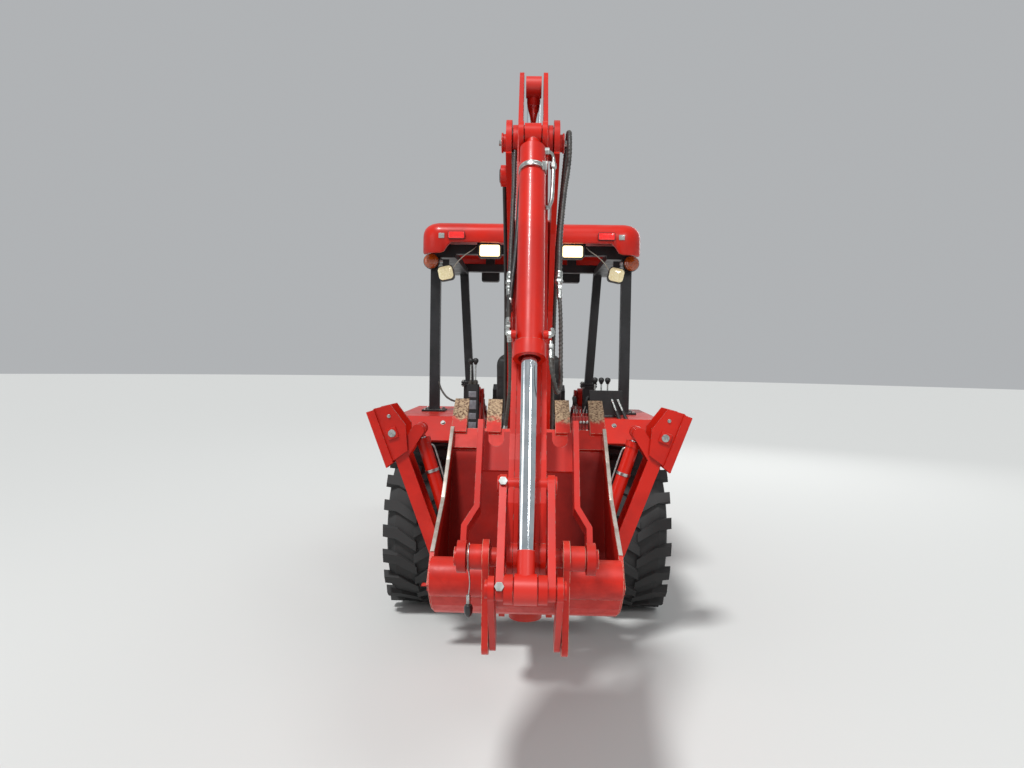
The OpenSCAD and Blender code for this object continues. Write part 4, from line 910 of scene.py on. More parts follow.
@dataclass
class Dipper:
    """Hoses, ports and pins along the dipper and its bucket cylinder. Sizes in millimetres."""

    head: tuple[float, float] = (-2200.0, 2355.0)
    lean: float = 27.0
    length: float = 1430.0
    barrel_out: float = 140.0
    guide_x: float = 64.0
    port_down: float = 838.0
    band_radius: float = 42.5

    def at(self, x: float, down: float, out: float) -> Vector:
        """A place on the dipper's own axes.

        Args:
            x: How far to the right.
            down: How far down the dipper from its head pin.
            out: How far out towards the bucket cylinder.

        Returns:
            The place, in metres.
        """
        lean = math.radians(self.lean)
        y = self.head[0] - down * math.sin(lean) - out * math.cos(lean)
        z = self.head[1] - down * math.cos(lean) + out * math.sin(lean)
        return place(x, y, z)

    def down(self) -> Vector:
        """The direction down the dipper."""
        return Vector((0, -math.sin(math.radians(self.lean)), -math.cos(math.radians(self.lean))))

    def out(self) -> Vector:
        """The direction from the dipper towards the bucket cylinder."""
        return Vector((0, -math.cos(math.radians(self.lean)), math.sin(math.radians(self.lean))))

    def build(self) -> None:
        """Makes the hoses, the ports and lines, the band and the keepers."""
        self._left_hoses()
        self._right_hoses()
        self._ports()
        self._band()
        self._pins()

    def _left_hoses(self) -> None:
        """The guarded hose on the left plate, the plain one, and the short one to the gland."""
        guarded = route(
            (-61, 62, 26), (-61, 130, 34), (-60, 210, 42), (-61, 320, 50), (-62, 440, 56),
            (-63, 560, 66), (-64, 612, 72), at=self.at,
        )
        Hose("dipper_hose_left", "dipper", guarded, 16, Wrap.GUARD, fitted=(False, True)).build()
        plain = route(
            (-30, 196, 92), (-38, 290, 92), (-42, 400, 90), (-47, 520, 86), (-56, 640, 84),
            (-60, 716, 88), at=self.at,
        )
        Hose("dipper_hose_plain", "dipper", plain, 14, fitted=(False, True)).build()
        short = route(
            (-64, 652, 78), (-63, 700, 90), (-62, 750, 108), (-61, 800, 128), at=self.at
        )
        Hose("gland_hose_left", "dipper", short, 14, onto="bucket_barrel").build()

    def _right_hoses(self) -> None:
        """The hose that crosses from the boom, and the loop that turns up to the gland's port."""
        up_the_boom = route(
            (102, -1545, 1120), (102, -1590, 1300), (102, -1612, 1500), (102, -1680, 1760),
            (103, -1790, 1960), (106, -1930, 2130), (113, -2040, 2250), (120, -2130, 2360),
        )
        over_the_head = route(
            (122, -2159, 2382), (123, -2195, 2390), (124, -2231, 2382), (124, -2259, 2360),
            (124, -2276, 2328), (123, -2284, 2285),
        )
        down_the_dipper = route(
            (118, 150, 24), (106, 250, 34), (92, 420, 50), (88, 545, 62), (86, 604, 68), at=self.at
        )
        Hose(
            "boom_to_dipper_hose", "boom", up_the_boom + over_the_head + down_the_dipper,
            17, Wrap.GUARD, onto="dipper", zone=(0.6, 0.8),
        ).build()
        loop = route(
            (86, 650, 74), (90, 720, 62), (92, 800, 40), (92, 870, 28), (92, 930, 27),
            (84, 967, 42.5), (76, 983, 80), (68, 967, 117.5), (60, 930, 133), (59, 884, 135),
            at=self.at,
        )
        Hose(
            "gland_hose_right", "dipper", loop, 12.5, Wrap.GUARD, onto="bucket_barrel",
            lay="hanging",
        ).build()

    def _ports(self) -> None:
        """Welded ports, elbows and the steel tube on the bucket cylinder."""
        ports, steel = bmesh.new(), bmesh.new()
        level, out = self.port_down, self.barrel_out
        for x in (-1, 1):
            side = Vector((x, 0, 0))
            turned(ports, self.at(x * 38, level, out), side, [(0, 12), (14, 12), (15, 10)], 16)
            turned(steel, self.at(x * 51, level, out), side, [(0, 11), (9, 11), (10, 9)], 6)
            elbow = route(
                (x * 56, level, out), (x * 63, level - 4, out - 2), (x * 62, level - 22, out - 8),
                at=self.at,
            )
            swept(steel, smooth_path(elbow, 3), 7)
        mesh_piece("gland_ports", ports, ENAMEL, "bucket_barrel")
        tube = route(
            (40, 168, 140), (58, 166, 130), (66, 180, 118), (66, 230, 112), (62, 330, 112),
            (52, 372, 118), (40, 384, 130), at=self.at,
        )
        swept(steel, smooth_path(tube, 4), 6.5, count=14)
        turned(steel, tube[0], Vector((1, 0, 0)), [(-2, 12), (12, 12), (13, 9)], 6)
        turned(steel, self.at(66, 196, 116), self.down(), [(0, 8), (2, 11), (20, 11), (22, 8)], 6)
        mesh_piece("cylinder_steel_lines", steel, ZINC, "bucket_barrel")

    def _band(self) -> None:
        """The clamp band round the bucket cylinder, with its two wires and its block."""
        band = bmesh.new()
        down, centre = self.down(), self.at(0, 250, self.barrel_out)
        for shift in (-6, 6):
            ring = []
            for i in range(48):
                a, r = 2 * math.pi * i / 48, self.band_radius * MM
                spot = centre + Vector((math.cos(a), 0, 0)) * r + self.out() * math.sin(a) * r
                ring.append(spot + down * shift * MM)
            swept(band, [*ring, ring[0]], 1.6, count=8)
        strap = [(0, 41.2), (0, 42.6), (18, 42.6), (18, 41.2)]
        turned(band, centre - down * 0.009, down, strap, 48)
        block(band, self.at(30, 240, 176), self.at(46, 262, 160), 1.5)
        mesh_piece("clamp_band", band, ZINC, "bucket_barrel")

    def _pins(self) -> None:
        """Keeper bolts on the left guide link's pins."""
        keepers = Fasteners("guide_link_bolts", "guide_links", across=21, height=10, washer=0.5)
        keepers.add(self.at(-self.guide_x, 1245, 68.5), self.out())
        keepers.add(self.at(-self.guide_x, self.length + 95, 113.5), self.out())
        keepers.build()


@dataclass
class Boom:
    """The left hoses, the elbow, the boss, the blank plate and the head pin's ends."""

    head: tuple[float, float] = (-2200.0, 2355.0)
    boss: tuple[float, float] = (-2120.0, 2262.0)

    def build(self) -> None:
        """Makes the boom's pieces."""
        upper = route(
            (-84, -1784, 1700), (-80, -1756, 1610), (-79, -1730, 1515), (-84, -1714, 1430),
            (-94, -1698, 1340), (-99, -1692, 1296),
        )
        Hose("boom_hose_left", "boom", upper, 17, Wrap.GUARD).build()
        side = route(
            (-102, -1550, 1130), (-102, -1592, 1300), (-102, -1616, 1500), (-102, -1684, 1760),
            (-102, -1796, 1962), (-102, -1930, 2120), (-102, -2030, 2205), (-102, -2092, 2262),
        )
        Hose("boom_side_hose_left", "boom", side, 15).build()
        self._elbow()
        self._boss()
        self._plate()
        self._pin_keepers()

    def _elbow(self) -> None:
        """The silver elbow below the left hose."""
        steel, port = bmesh.new(), bmesh.new()
        bend = route(
            (-99, -1692, 1274), (-100, -1690, 1235), (-100, -1689, 1205), (-97, -1676, 1186),
            (-92, -1652, 1180),
        )
        swept(steel, smooth_path(bend, 4), 8, count=14)
        turned(steel, place(-100, -1690, 1246), DOWN, [(0, 8), (1, 13), (16, 13), (17, 8)], 6)
        nut = [(-16, 8), (-15, 13), (0, 13), (1, 8)]
        turned(steel, place(-93, -1654, 1180), Vector((0.2, 1, 0)), nut, 6)
        mesh_piece("boom_elbow", steel, ZINC, "boom")
        block(port, place(-110, -1652, 1162), place(-74, -1622, 1198), 4)
        mesh_piece("boom_elbow_block", port, ENAMEL, "boom")

    def _boss(self) -> None:
        """The spare boss with a dark cap on the left of the boom's head."""
        boss, cap, left = bmesh.new(), bmesh.new(), Vector((-1, 0, 0))
        cup = [(0, 38), (22, 38), (24, 36), (24, 27), (14, 27)]
        turned(boss, place(-90, *self.boss), left, cup, 32)
        mesh_piece("head_boss", boss, ENAMEL, "boom")
        turned(cap, place(-104, *self.boss), left, [(0, 26), (11, 26), (14, 22), (15, 0.5)], 32)
        mesh_piece("head_boss_cap", cap, MOULDED_BLACK, "boom")

    def _plate(self) -> None:
        """The blank label plate and the bar under it, on a bracket of the boom."""
        bracket, plate = bmesh.new(), bmesh.new()
        for low, high, round_mm in (
            ((-142, -1652, 1088), (-84, -1646, 1158), 1),
            ((-142, -1668, 1052), (-84, -1640, 1080), 3),
            ((-100, -1650, 1056), (-88, -1600, 1150), 2),
        ):
            block(bracket, place(*low), place(*high), round_mm)
        mesh_piece("plate_bracket", bracket, ENAMEL, "boom")
        block(plate, place(-138, -1654, 1092), place(-88, -1651.5, 1154), 0.8)
        mesh_piece("blank_label_plate", plate, BLANK_PLATE, "boom")
        rivets = Fasteners("plate_rivets", "boom", across=5, height=2, washer=0.5)
        for x in (-134, -92):
            for z in (1096, 1150):
                rivets.add(place(x, -1653.5, z), REARWARD)
        rivets.build()

    def _pin_keepers(self) -> None:
        """Collars and bolts on the ends of the boom's pins."""
        plates = bmesh.new()
        bolts = Fasteners("head_pin_bolts", "boom", across=18, height=9, washer=28)
        for x, _ in SIDES:
            side = Vector((x, 0, 0))
            turned(plates, place(x * 103, *self.head), side, [(0, 34), (5, 34), (6, 32)], 32)
            turned(plates, place(x * 91, -1445, 600), side, [(0, 2), (0.5, 2)], 6)
            bolts.add(place(x * 109, *self.head), side)
        mesh_piece("head_pin_collars", plates, ENAMEL, "boom")
        bolts.build()


@dataclass
class DiggingBucket:
    """Worn edges, the hanging linch pin and a small lug of the digging bucket."""

    roll: tuple[float, float] = (-2520.0, 925.0)
    mouth: float = 34.0
    half: float = 305.0
    pin: Triple = (-150.0, -2849.0, 1081.0)
    ring_radius: float = 36.0
    wire: float = 1.8

    def at(self, x: float, along: float, deep: float) -> Vector:
        """A place on the bucket's own axes.

        Args:
            x: How far to the right.
            along: How far along the mouth from the rolled edge.
            deep: How far into the bucket.

        Returns:
            The place, in metres.
        """
        a = math.radians(self.mouth)
        y = self.roll[0] + along * math.cos(a) + deep * math.sin(a)
        z = self.roll[1] + along * math.sin(a) - deep * math.cos(a)
        return place(x, y, z)

    def build(self) -> None:
        """Makes the bucket's pieces."""
        worn, lug, right = bmesh.new(), bmesh.new(), Vector((1, 0, 0))
        edge = ((58, -47.5), (205, -20), (350, 8), (530, -6), (706, -20))
        for s, _ in SIDES:
            for start, end in zip(edge, edge[1:]):
                low, high = (self.at(s * (self.half - 10), *spot) for spot in (start, end))
                along = (high - low).normalized()
                turn = Matrix((right, along, right.cross(along))).transposed()
                half = Vector((6.4 * MM, (high - low).length / 2 + 0.0006, 1.4 * MM))
                block(worn, (low + high) / 2 - half, (low + high) / 2 + half, 0.6, turn)
        mesh_piece("worn_side_edges", worn, SCOURED_STEEL, "backhoe_bucket")
        block(lug, self.at(-self.half - 28, 10, 62), self.at(-self.half + 4, 34, 80), 2.5)
        mesh_piece("side_lug", lug, ENAMEL, "backhoe_bucket")
        self._linch_pin()

    def _linch_pin(self) -> None:
        """The pin that hangs from the left end of the bucket's pin."""
        steel, knob = bmesh.new(), bmesh.new()
        x, y, z = self.pin
        r = self.ring_radius
        angles = [2 * math.pi * i / 36 for i in range(37)]
        ring = [place(x, y + r * math.sin(a), z - 2 + r * math.cos(a)) for a in angles]
        swept(steel, ring, self.wire, count=8)
        chain = route((x, y - 3, z - 36), (x + 3, y - 4, z - 70), (x, y - 3, z - 104))
        swept(steel, smooth_path(chain, 6), self.wire, count=8)
        turned(steel, place(x, y - 3, z - 100), DOWN, [(0, 3), (2, 6), (24, 6), (26, 4)], 14)
        mesh_piece("linch_pin", steel, ZINC, "backhoe_bucket")
        grip = [(0, 5), (3, 10), (10, 12), (24, 11), (32, 7), (36, 2)]
        turned(knob, place(x, y - 3, z - 125), DOWN, grip, 18)
        mesh_piece("linch_pin_knob", knob, BARREL_BLACK, "backhoe_bucket")


@dataclass
class Wheels:
    """Nuts on the rims' outer faces, in a circle for each wheel. Sizes in millimetres."""

    rear_track: float = 1330.0
    front_track: float = 1310.0
    wheelbase: float = 1895.0
    rear_radius: float = 522.5
    front_radius: float = 345.0
    rear_face: float = 112.0
    front_face: float = 11.0
    rear_circle: float = 105.0
    front_circle: float = 72.0

    def build(self) -> None:
        """Sets nuts round each hub."""
        for s, side in SIDES:
            facing = Vector((s, 0, 0))
            rear = Fasteners(f"rear_nuts_{side}", f"rear_wheel_{side}", 24, 16, 34)
            hub = place(s * (self.rear_track / 2 + self.rear_face), 0, self.rear_radius)
            rear.ring(hub, facing, self.rear_circle, 8)
            rear.build()
            front = Fasteners(f"front_nuts_{side}", f"front_wheel_{side}", 20, 14, 28)
            out = s * (self.front_track / 2 + self.front_face)
            hub = place(out, self.wheelbase, self.front_radius)
            front.ring(hub, facing, self.front_circle, 6)
            front.build()


def rounded_rectangle(
    half_x: tuple[float, float], half_y: tuple[float, float], radius: float, steps: int
) -> list[tuple[float, float, float, float]]:
    """The outline of a rectangle with round corners, each place with its outward direction.

    Args:
        half_x: Its least and greatest x.
        half_y: Its least and greatest y.
        radius: The corners' radius.
        steps: Steps round each corner.

    Returns:
        x, y and the outward direction's two parts, anticlockwise from the right.
    """
    (left, right), (low, high) = half_x, half_y
    out = []
    for cx, cy, start in (
        (right - radius, high - radius, 0), (left + radius, high - radius, 90),
        (left + radius, low + radius, 180), (right - radius, low + radius, 270),
    ):
        for i in range(steps + 1):
            a = math.radians(start + 90 / steps * i)
            nx, ny = math.cos(a), math.sin(a)
            out.append((cx + radius * nx, cy + radius * ny, nx, ny))
    return out


def lens(
    shape: Shape, centre: Vector, size: tuple[float, float], facing: float, crown: float,
    round_mm: float, tilt: float = 0.0,
) -> None:
    """Adds a crowned lens with round corners that faces along Y.

    Args:
        shape: The shape that grows.
        centre: The middle of the lens's rim, in metres.
        size: Its width and height in millimetres.
        facing: -1 where it faces the rear, 1 where it faces the front.
        crown: How far its middle stands out.
        round_mm: The corners' radius.
        tilt: Its turn about Y in degrees.
    """
    w, h = size[0] / 2, size[1] / 2
    outline = [(x, z) for x, z, _, _ in rounded_rectangle((-w, w), (-h, h), round_mm, 6)]
    turn = Matrix.Rotation(math.radians(tilt), 3, "Y")
    sections = (
        (1.0, -3.0), (1.0, 1.0), (0.97, 2.2), (0.86, 2.0 + crown * 0.35),
        (0.62, 2.0 + crown * 0.7), (0.34, 2.0 + crown * 0.93), (0.12, 2.0 + crown),
    )
    skin(shape, [
        [
            shape.verts.new(centre + turn @ Vector((x * share, facing * out, z * share)) * MM)
            for x, z in outline
        ]
        for share, out in sections
    ])


@dataclass
class Lamps:
    """Lenses over the lamps' housings, reflectors, and the wires that feed them."""

    work_rear: Triple = (260.0, -221.0, 2284.0)
    work_front: Triple = (330.0, 1191.0, 2284.0)
    post: Triple = (549.0, -112.3, 2155.0)
    tail: Triple = (465.0, -280.3, 2370.0)
    signal: Triple = (647.0, -88.3, 2232.0)
    head: Triple = (217.7, 2440.0, 1146.0)
    reflector: Triple = (560.0, -264.0, 2352.0)
    work_size: tuple[float, float] = (126.0, 72.0)
    post_size: tuple[float, float] = (94.0, 86.0)
    tail_size: tuple[float, float] = (98.0, 42.0)
    head_size: tuple[float, float] = (106.0, 70.0)
    reflector_half: float = 18.0
    rim_half: tuple[float, float] = (71.0, 44.0)
    wire: float = 6.0

    def build(self) -> None:
        """Makes each pair of lenses."""
        lit, cream, red, amber, reflector, head = (bmesh.new() for _ in range(6))
        bowl = [
            (-1, 44), (0, 47.6), (3, 47.8), (5, 46), (7, 46.6), (12, 43.5), (14, 44), (19, 37),
            (21, 37), (25, 26), (27, 24), (29, 10), (29.5, 1),
        ]
        for s, _ in SIDES:
            for shape, (x, y, z), *form in (
                (lit, self.work_rear, self.work_size, -1, 5, 12),
                (cream, self.work_front, self.work_size, 1, 5, 12),
                (cream, self.post, self.post_size, -1, 9, 24, s * 12),
                (red, self.tail, self.tail_size, -1, 3, 7),
                (head, self.head, self.head_size, 1, 3, 14),
            ):
                lens(shape, place(s * x, y, z), *form)
            x, y, z = self.signal
            turned(amber, place(s * x, y, z), REARWARD, bowl, 36)
            x, y, z = self.reflector
            low, high = s * x - self.reflector_half, s * x + self.reflector_half
            block(reflector, place(low, y, z), place(high, y + 5, z + 32), 1.5)
        mesh_piece("work_lamp_lenses", lit, LIT_LENS, "frame")
        mesh_piece("post_and_front_lenses", cream, CREAM_LENS, "frame")
        mesh_piece("head_lamp_lenses", head, CREAM_LENS, "hood")
        mesh_piece("tail_lamp_lenses", red, RED_LENS, "frame")
        mesh_piece("signal_lamp_lenses", amber, AMBER_LENS, "frame")
        mesh_piece("roof_reflectors", reflector, GREY_REFLECTOR, "frame")
        self._rims()
        self._wires()

    def _rims(self) -> None:
        """Black rims round the work lamps."""
        rims = bmesh.new()
        w, h = self.rim_half
        corners = (
            (-1, -0.75), (-1, 0.75), (-0.85, 0.97), (0.85, 0.97), (1, 0.75), (1, -0.75),
            (0.85, -0.97), (-0.85, -0.97),
        )
        for s, _ in SIDES:
            for (x, y, z), facing in ((self.work_rear, -1), (self.work_front, 1)):
                outline = [place(s * x + a * w, y + facing * 1.5, z + b * h) for a, b in corners]
                seam = outline[-1].lerp(outline[0], 0.5)
                swept(rims, [seam, *outline, seam], 3.2, count=8)
        mesh_piece("work_lamp_rims", rims, MOULDED_BLACK, "frame")

    def _wires(self) -> None:
        """Pale wires from under the roof down to the lamps on the posts."""
        for s, side in SIDES:
            path = smooth_path(route(
                (s * 352, -150, 2320), (s * 372, -168, 2296), (s * 420, -172, 2262),
                (s * 468, -150, 2222), (s * 500, -112, 2186), (s * 524, -78, 2170),
                (s * 540, -58, 2160),
            ), 5)
            shape = bmesh.new()
            swept(shape, path, self.wire / 2, count=10)
            wire = mesh_piece(f"lamp_wire_{side}", shape, LAMP_WIRE, "frame")


@dataclass
class Canopy:
    """The moulded roof shell, its rear corners drawn down round the lamps."""

    half: float = 690.0
    rear: float = -260.0
    front: float = 1240.0
    top: float = 2465.0
    rim: float = 2330.0
    corner_rim: float = 2262.0
    skin: float = 26.0
    corner: float = 120.0
    rear_corner_inner: float = 560.0
    drop_front: float = -118.0
    blend_x: float = 62.0
    blend_y: float = 55.0
    step: float = 24.0
    flat: float = 116.0
    bolt_x: float = 320.0
    bolt_y: tuple[float, float] = (0.0, 930.0)

    def _outline(self) -> list[tuple[float, float, float, float]]:
        """Places round the shell's plan, about a step apart.

        Returns:
            x, y and the outward direction's two parts.
        """
        half_x, half_y = (-self.half, self.half), (self.rear, self.front)
        corners = rounded_rectangle(half_x, half_y, self.corner, 12)
        dense: list[tuple[float, float, float, float]] = []
        for p, q in zip(corners, corners[1:] + corners[:1]):
            steps = max(1, round(math.hypot(q[0] - p[0], q[1] - p[1]) / self.step))
            for i in range(steps):
                dense.append(tuple(u + (v - u) * (i / steps) for u, v in zip(p, q)))
        return dense

    def _rim_at(self, x: float, y: float) -> float:
        """The rim's height, drawn down with a soft start at the rear corners.

        Args:
            x: A place on the outline, across.
            y: The same place, along.

        Returns:
            The height.
        """
        beside = abs(x) - self.rear_corner_inner + self.blend_x
        outward = min(1.0, max(0.0, beside / self.blend_x))
        rearward = min(1.0, max(0.0, (self.drop_front - y) / self.blend_y))
        drop = (outward * outward * (3 - 2 * outward)) * (rearward * rearward * (3 - 2 * rearward))
        return self.rim - (self.rim - self.corner_rim) * drop

    def build(self) -> None:
        """Makes the shell in place of the plainer solid, and its bolts."""
        shape = bmesh.new()
        outline = self._outline()
        outside = (
            (self.flat, 0.0), (98, -1), (78, -5), (50, -13), (28, -26), (12, -44), (3, -66),
            (0, -90),
        )
        inside = (
            (self.skin + 2, -70), (self.skin + 24, -42), (self.skin + 60, -28),
            (self.flat, -self.skin),
        )
        rings = []
        for rows, on_rim in (
            (outside, False), (((0, 10), (4, 3), (12, 0), (self.skin, 3)), True), (inside, False)
        ):
            for depth, rise in rows:
                rings.append([
                    shape.verts.new(place(
                        x - nx * depth, y - ny * depth,
                        (self._rim_at(x, y) if on_rim else self.top) + rise,
                    ))
                    for x, y, nx, ny in outline
                ])
        skin(shape, rings)
        shell = mesh_piece("canopy_shell", shape, ENAMEL, "frame")
        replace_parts(shell, "canopy")
        bolts = Fasteners("canopy_bolts", "frame", across=17, height=6, washer=34)
        for x in (-self.bolt_x, self.bolt_x):
            for y in self.bolt_y:
                bolts.add(place(x, y, self.top), UP)
        bolts.build()


@dataclass
class Posts:
    """Bolts on the roof posts' feet and flanges, and on the fenders."""

    rear_x: float = 625.0
    front_x: float = 470.0
    front_y: float = 930.0
    foot_top: float = 1266.3
    flange_top: float = 1426.0
    flange_bottom: float = 1394.0
    foot_bolt: float = 54.0
    flange_bolt: float = 47.0
    fender_bolts: tuple[float, float] = (511.0, 740.0)
    fender_edge: tuple[float, float] = (-467.5, 1217.5)
    lamp_bolts: tuple[float, float] = (2205.0, 2232.0)
    lamp_plate: tuple[float, float] = (589.0, -54.0)

    def build(self) -> None:
        """Sets the bolts."""
        bolts = Fasteners("post_bolts", "frame", across=19, height=10, washer=30)
        for s, _ in SIDES:
            for way in (-1, 1):
                x = s * self.rear_x + way * self.foot_bolt
                for y in (-self.foot_bolt, self.foot_bolt):
                    bolts.add(place(x, y, self.foot_top), UP)
                x = s * self.front_x + way * self.flange_bolt
                for y in (self.front_y - self.flange_bolt, self.front_y + self.flange_bolt):
                    bolts.add(place(x, y, self.flange_top), UP)
                    bolts.add(place(x, y, self.flange_bottom), DOWN)
            for x in self.fender_bolts:
                bolts.add(place(s * x, *self.fender_edge), Vector((0, -1, 1)))
            x, y = self.lamp_plate
            for z in self.lamp_bolts:
                bolts.add(place(s * x, y, z), REARWARD)
        bolts.build()


@dataclass
class ValveBank:
    """Cast valve sections behind the right console, with fittings, hoses and grips."""

    left: float = 274.0
    rear: float = -300.0
    front: float = -232.0
    bottom: float = 1136.0
    top: float = 1256.0
    spool_y: float = -262.0
    port_heights: tuple[float, float] = (1168.0, 1222.0)
    sections: int = 5
    pitch: float = 20.0
    gap: float = 1.2
    middle: float = 9.4
    hoses: int = 4

    def build(self) -> None:
        """Makes the bank from left to right."""
        cast, steel, black = (bmesh.new() for _ in range(3))
        nut = [(0, 6), (1, 8.6), (12, 8.6), (13, 6), (20, 6)]
        y, low, high = self.spool_y, self.bottom, self.top
        for i in range(self.sections):
            x = self.left + i * self.pitch
            corner = place(x + self.pitch - self.gap, self.front, high)
            block(cast, place(x, self.rear, low), corner, 2.5)
            x += self.middle
            turned(cast, place(x, y, high - 1), UP, [(0, 8.5), (18, 8.5), (20, 6)], 18)
            turned(cast, place(x, y, low + 1), DOWN, [(0, 8.5), (26, 8.5), (29, 6)], 18)
            turned(steel, place(x, y, high + 18), UP, [(0, 4), (22, 4), (23, 3)], 10)
            for z in self.port_heights:
                turned(steel, place(x, self.rear + 1, z), REARWARD, nut, 6)
        grip = [(0, 7), (4, 10), (30, 12.5), (52, 12), (60, 8), (62, 3)]
        for x, y, z, lean in ((300, -266, 1292, -10), (342, -262, 1292, 12)):
            foot, tip = place(x, y, z - 22), place(x + lean, y - 14, z + 30)
            turned(steel, foot, tip - foot, [(0, 4), (60, 4)], 10)
            turned(black, tip, tip - foot, grip, 20)
        mesh_piece("valve_sections", cast, CAST_RED, "frame")
        mesh_piece("valve_fittings", steel, ZINC, "frame")
        mesh_piece("valve_grips", black, MOULDED_BLACK, "frame", "lever_plastic")
        self._hoses()
        self._console_levers()

    def _hoses(self) -> None:
        """Hoses from the bank down behind the seat wall to the backhoe frame."""
        for i in range(self.hoses):
            x = self.left + self.middle + i * self.pitch
            points = route(
                (x, -334, 1168), (x, -358, 1165), (x, -380, 1155), (x, -396, 1138),
                (x - 1, -404, 1112), (x - 4, -404, 1030), (x - 14, -396, 930), (x - 30, -404, 856),
                (x - 50, -440, 800), (x - 72, -510, 768), (x - 90, -600, 755), (x - 100, -706, 750),
            )
            wrap = Wrap.PLAIN if i % 2 else Wrap.GUARD
            Hose(f"valve_hose_{i}", "frame", points, 12, wrap, lay="hanging").build()

    def _console_levers(self) -> None:
        """The two black grips with bright sleeves on the right console's plate."""
        steel, black = bmesh.new(), bmesh.new()
        sleeve = [(-4, 9), (10, 9), (12, 7), (74, 7), (76, 5)]
        grip = [(0, 6), (3, 9.5), (60, 11), (76, 9), (80, 3)]
        for x, lean in ((512, 0.30), (548, 0.34)):
            foot, way = place(x, -331, 1362), Vector((lean, -0.42, -0.84)).normalized()
            turned(steel, foot, way, sleeve, 16)
            turned(black, foot + way * 0.074, way, grip, 18)
        mesh_piece("console_lever_sleeves", steel, ZINC, "frame")
        mesh_piece("console_lever_grips", black, MOULDED_BLACK, "frame", "lever_plastic")


@dataclass
class Controls:
    """Knobs on the levers, the dials and the cable from post to console."""

    knobs: tuple[Triple, ...] = (
        (-370, -200, 1590), (-340, -200, 1590), (415, -220, 1480), (455, -220, 1480),
        (495, -220, 1480),
    )
    boot_drop: float = 150.0
    cable: float = 13.0
    dial: Triple = (150.0, 1060.0, 1380.0)
    ticks: int = 9
    plates: tuple[tuple[float, float], ...] = (
        (1361, 1399), (1286, 1342), (1223, 1261), (1154, 1204),
    )

    def build(self) -> None:
        """Makes the knobs, boots, dials and cable."""
        knobs, boots, plates, shape = (bmesh.new() for _ in range(4))
        knob = [
            (-24, 6), (-20, 9.5), (-12, 13), (-4, 17.8), (4, 18.6), (11, 16.6), (16, 11),
            (18.4, 5), (18.8, 0.6),
        ]
        boot = [
            (0.5, 17), (4, 18), (7, 14), (11, 15.5), (14, 11.5), (18, 13), (21, 9), (26, 10),
            (30, 5.6),
        ]
        for x, y, z in self.knobs:
            turned(knobs, place(x, y, z), UP, knob, 24)
            turned(boots, place(x, y, z - self.boot_drop), UP, boot, 24)
        mesh_piece("lever_knobs", knobs, MOULDED_BLACK, "frame", "lever_plastic")
        mesh_piece("lever_boots", boots, HOSE_RUBBER, "frame")
        self._dials()
        for low, high in self.plates:
            block(plates, place(-379, -241.4, low), place(-331, -239, high), 0.5)
        mesh_piece("blank_console_plates", plates, BLANK_PLATE, "frame")
        path = smooth_path(route(
            (-596, -24, 1456), (-580, -44, 1408), (-540, -78, 1356), (-486, -118, 1330),
            (-430, -152, 1330), (-394, -176, 1340),
        ), 5)
        swept(shape, path, self.cable / 2, 0.8, 9.0, 12)
        cable = mesh_piece("console_cable", shape, HOSE_RUBBER, "frame")

    def _dials(self) -> None:
        """Two plain dials on the cowl's sloping face."""
        up, top = Vector((0, -40, 120)).normalized(), Vector((0, 120, 40)).normalized()
        rims, faces, hands = (bmesh.new() for _ in range(3))
        tick = Vector((0.0012, 0.0012, 0.0004))
        x, y, z = self.dial
        for s, _ in SIDES:
            centre = place(s * x, y, z)
            turned(rims, centre, up, [(0, 40), (7, 40), (9, 37), (9, 34.5), (5, 34)], 36)
            turned(faces, centre, up, [(4, 34.2), (5.6, 34.2), (5.8, 33)], 36)
            for k in range(self.ticks):
                a = math.radians(-120 + 30 * k)
                across = Vector((math.sin(a), 0, 0)) + top * math.cos(a)
                spot = centre + across * 0.028 + up * 0.0066
                block(hands, spot - tick, spot + tick, 0.2)
            a = math.radians(-50)
            way = Vector((math.sin(a), 0, 0)) + top * math.cos(a)
            turned(hands, centre + up * 0.0075 - way * 0.005, way, [(0, 1.4), (27, 0.7)], 8)
            turned(hands, centre + up * 0.006, up, [(0, 4), (3, 4), (4, 2)], 12)
        mesh_piece("dial_rims", rims, MOULDED_BLACK, "frame")
        mesh_piece("dial_faces", faces, DIAL_FACE, "frame")
        mesh_piece("dial_hands", hands, RED_LENS, "frame")


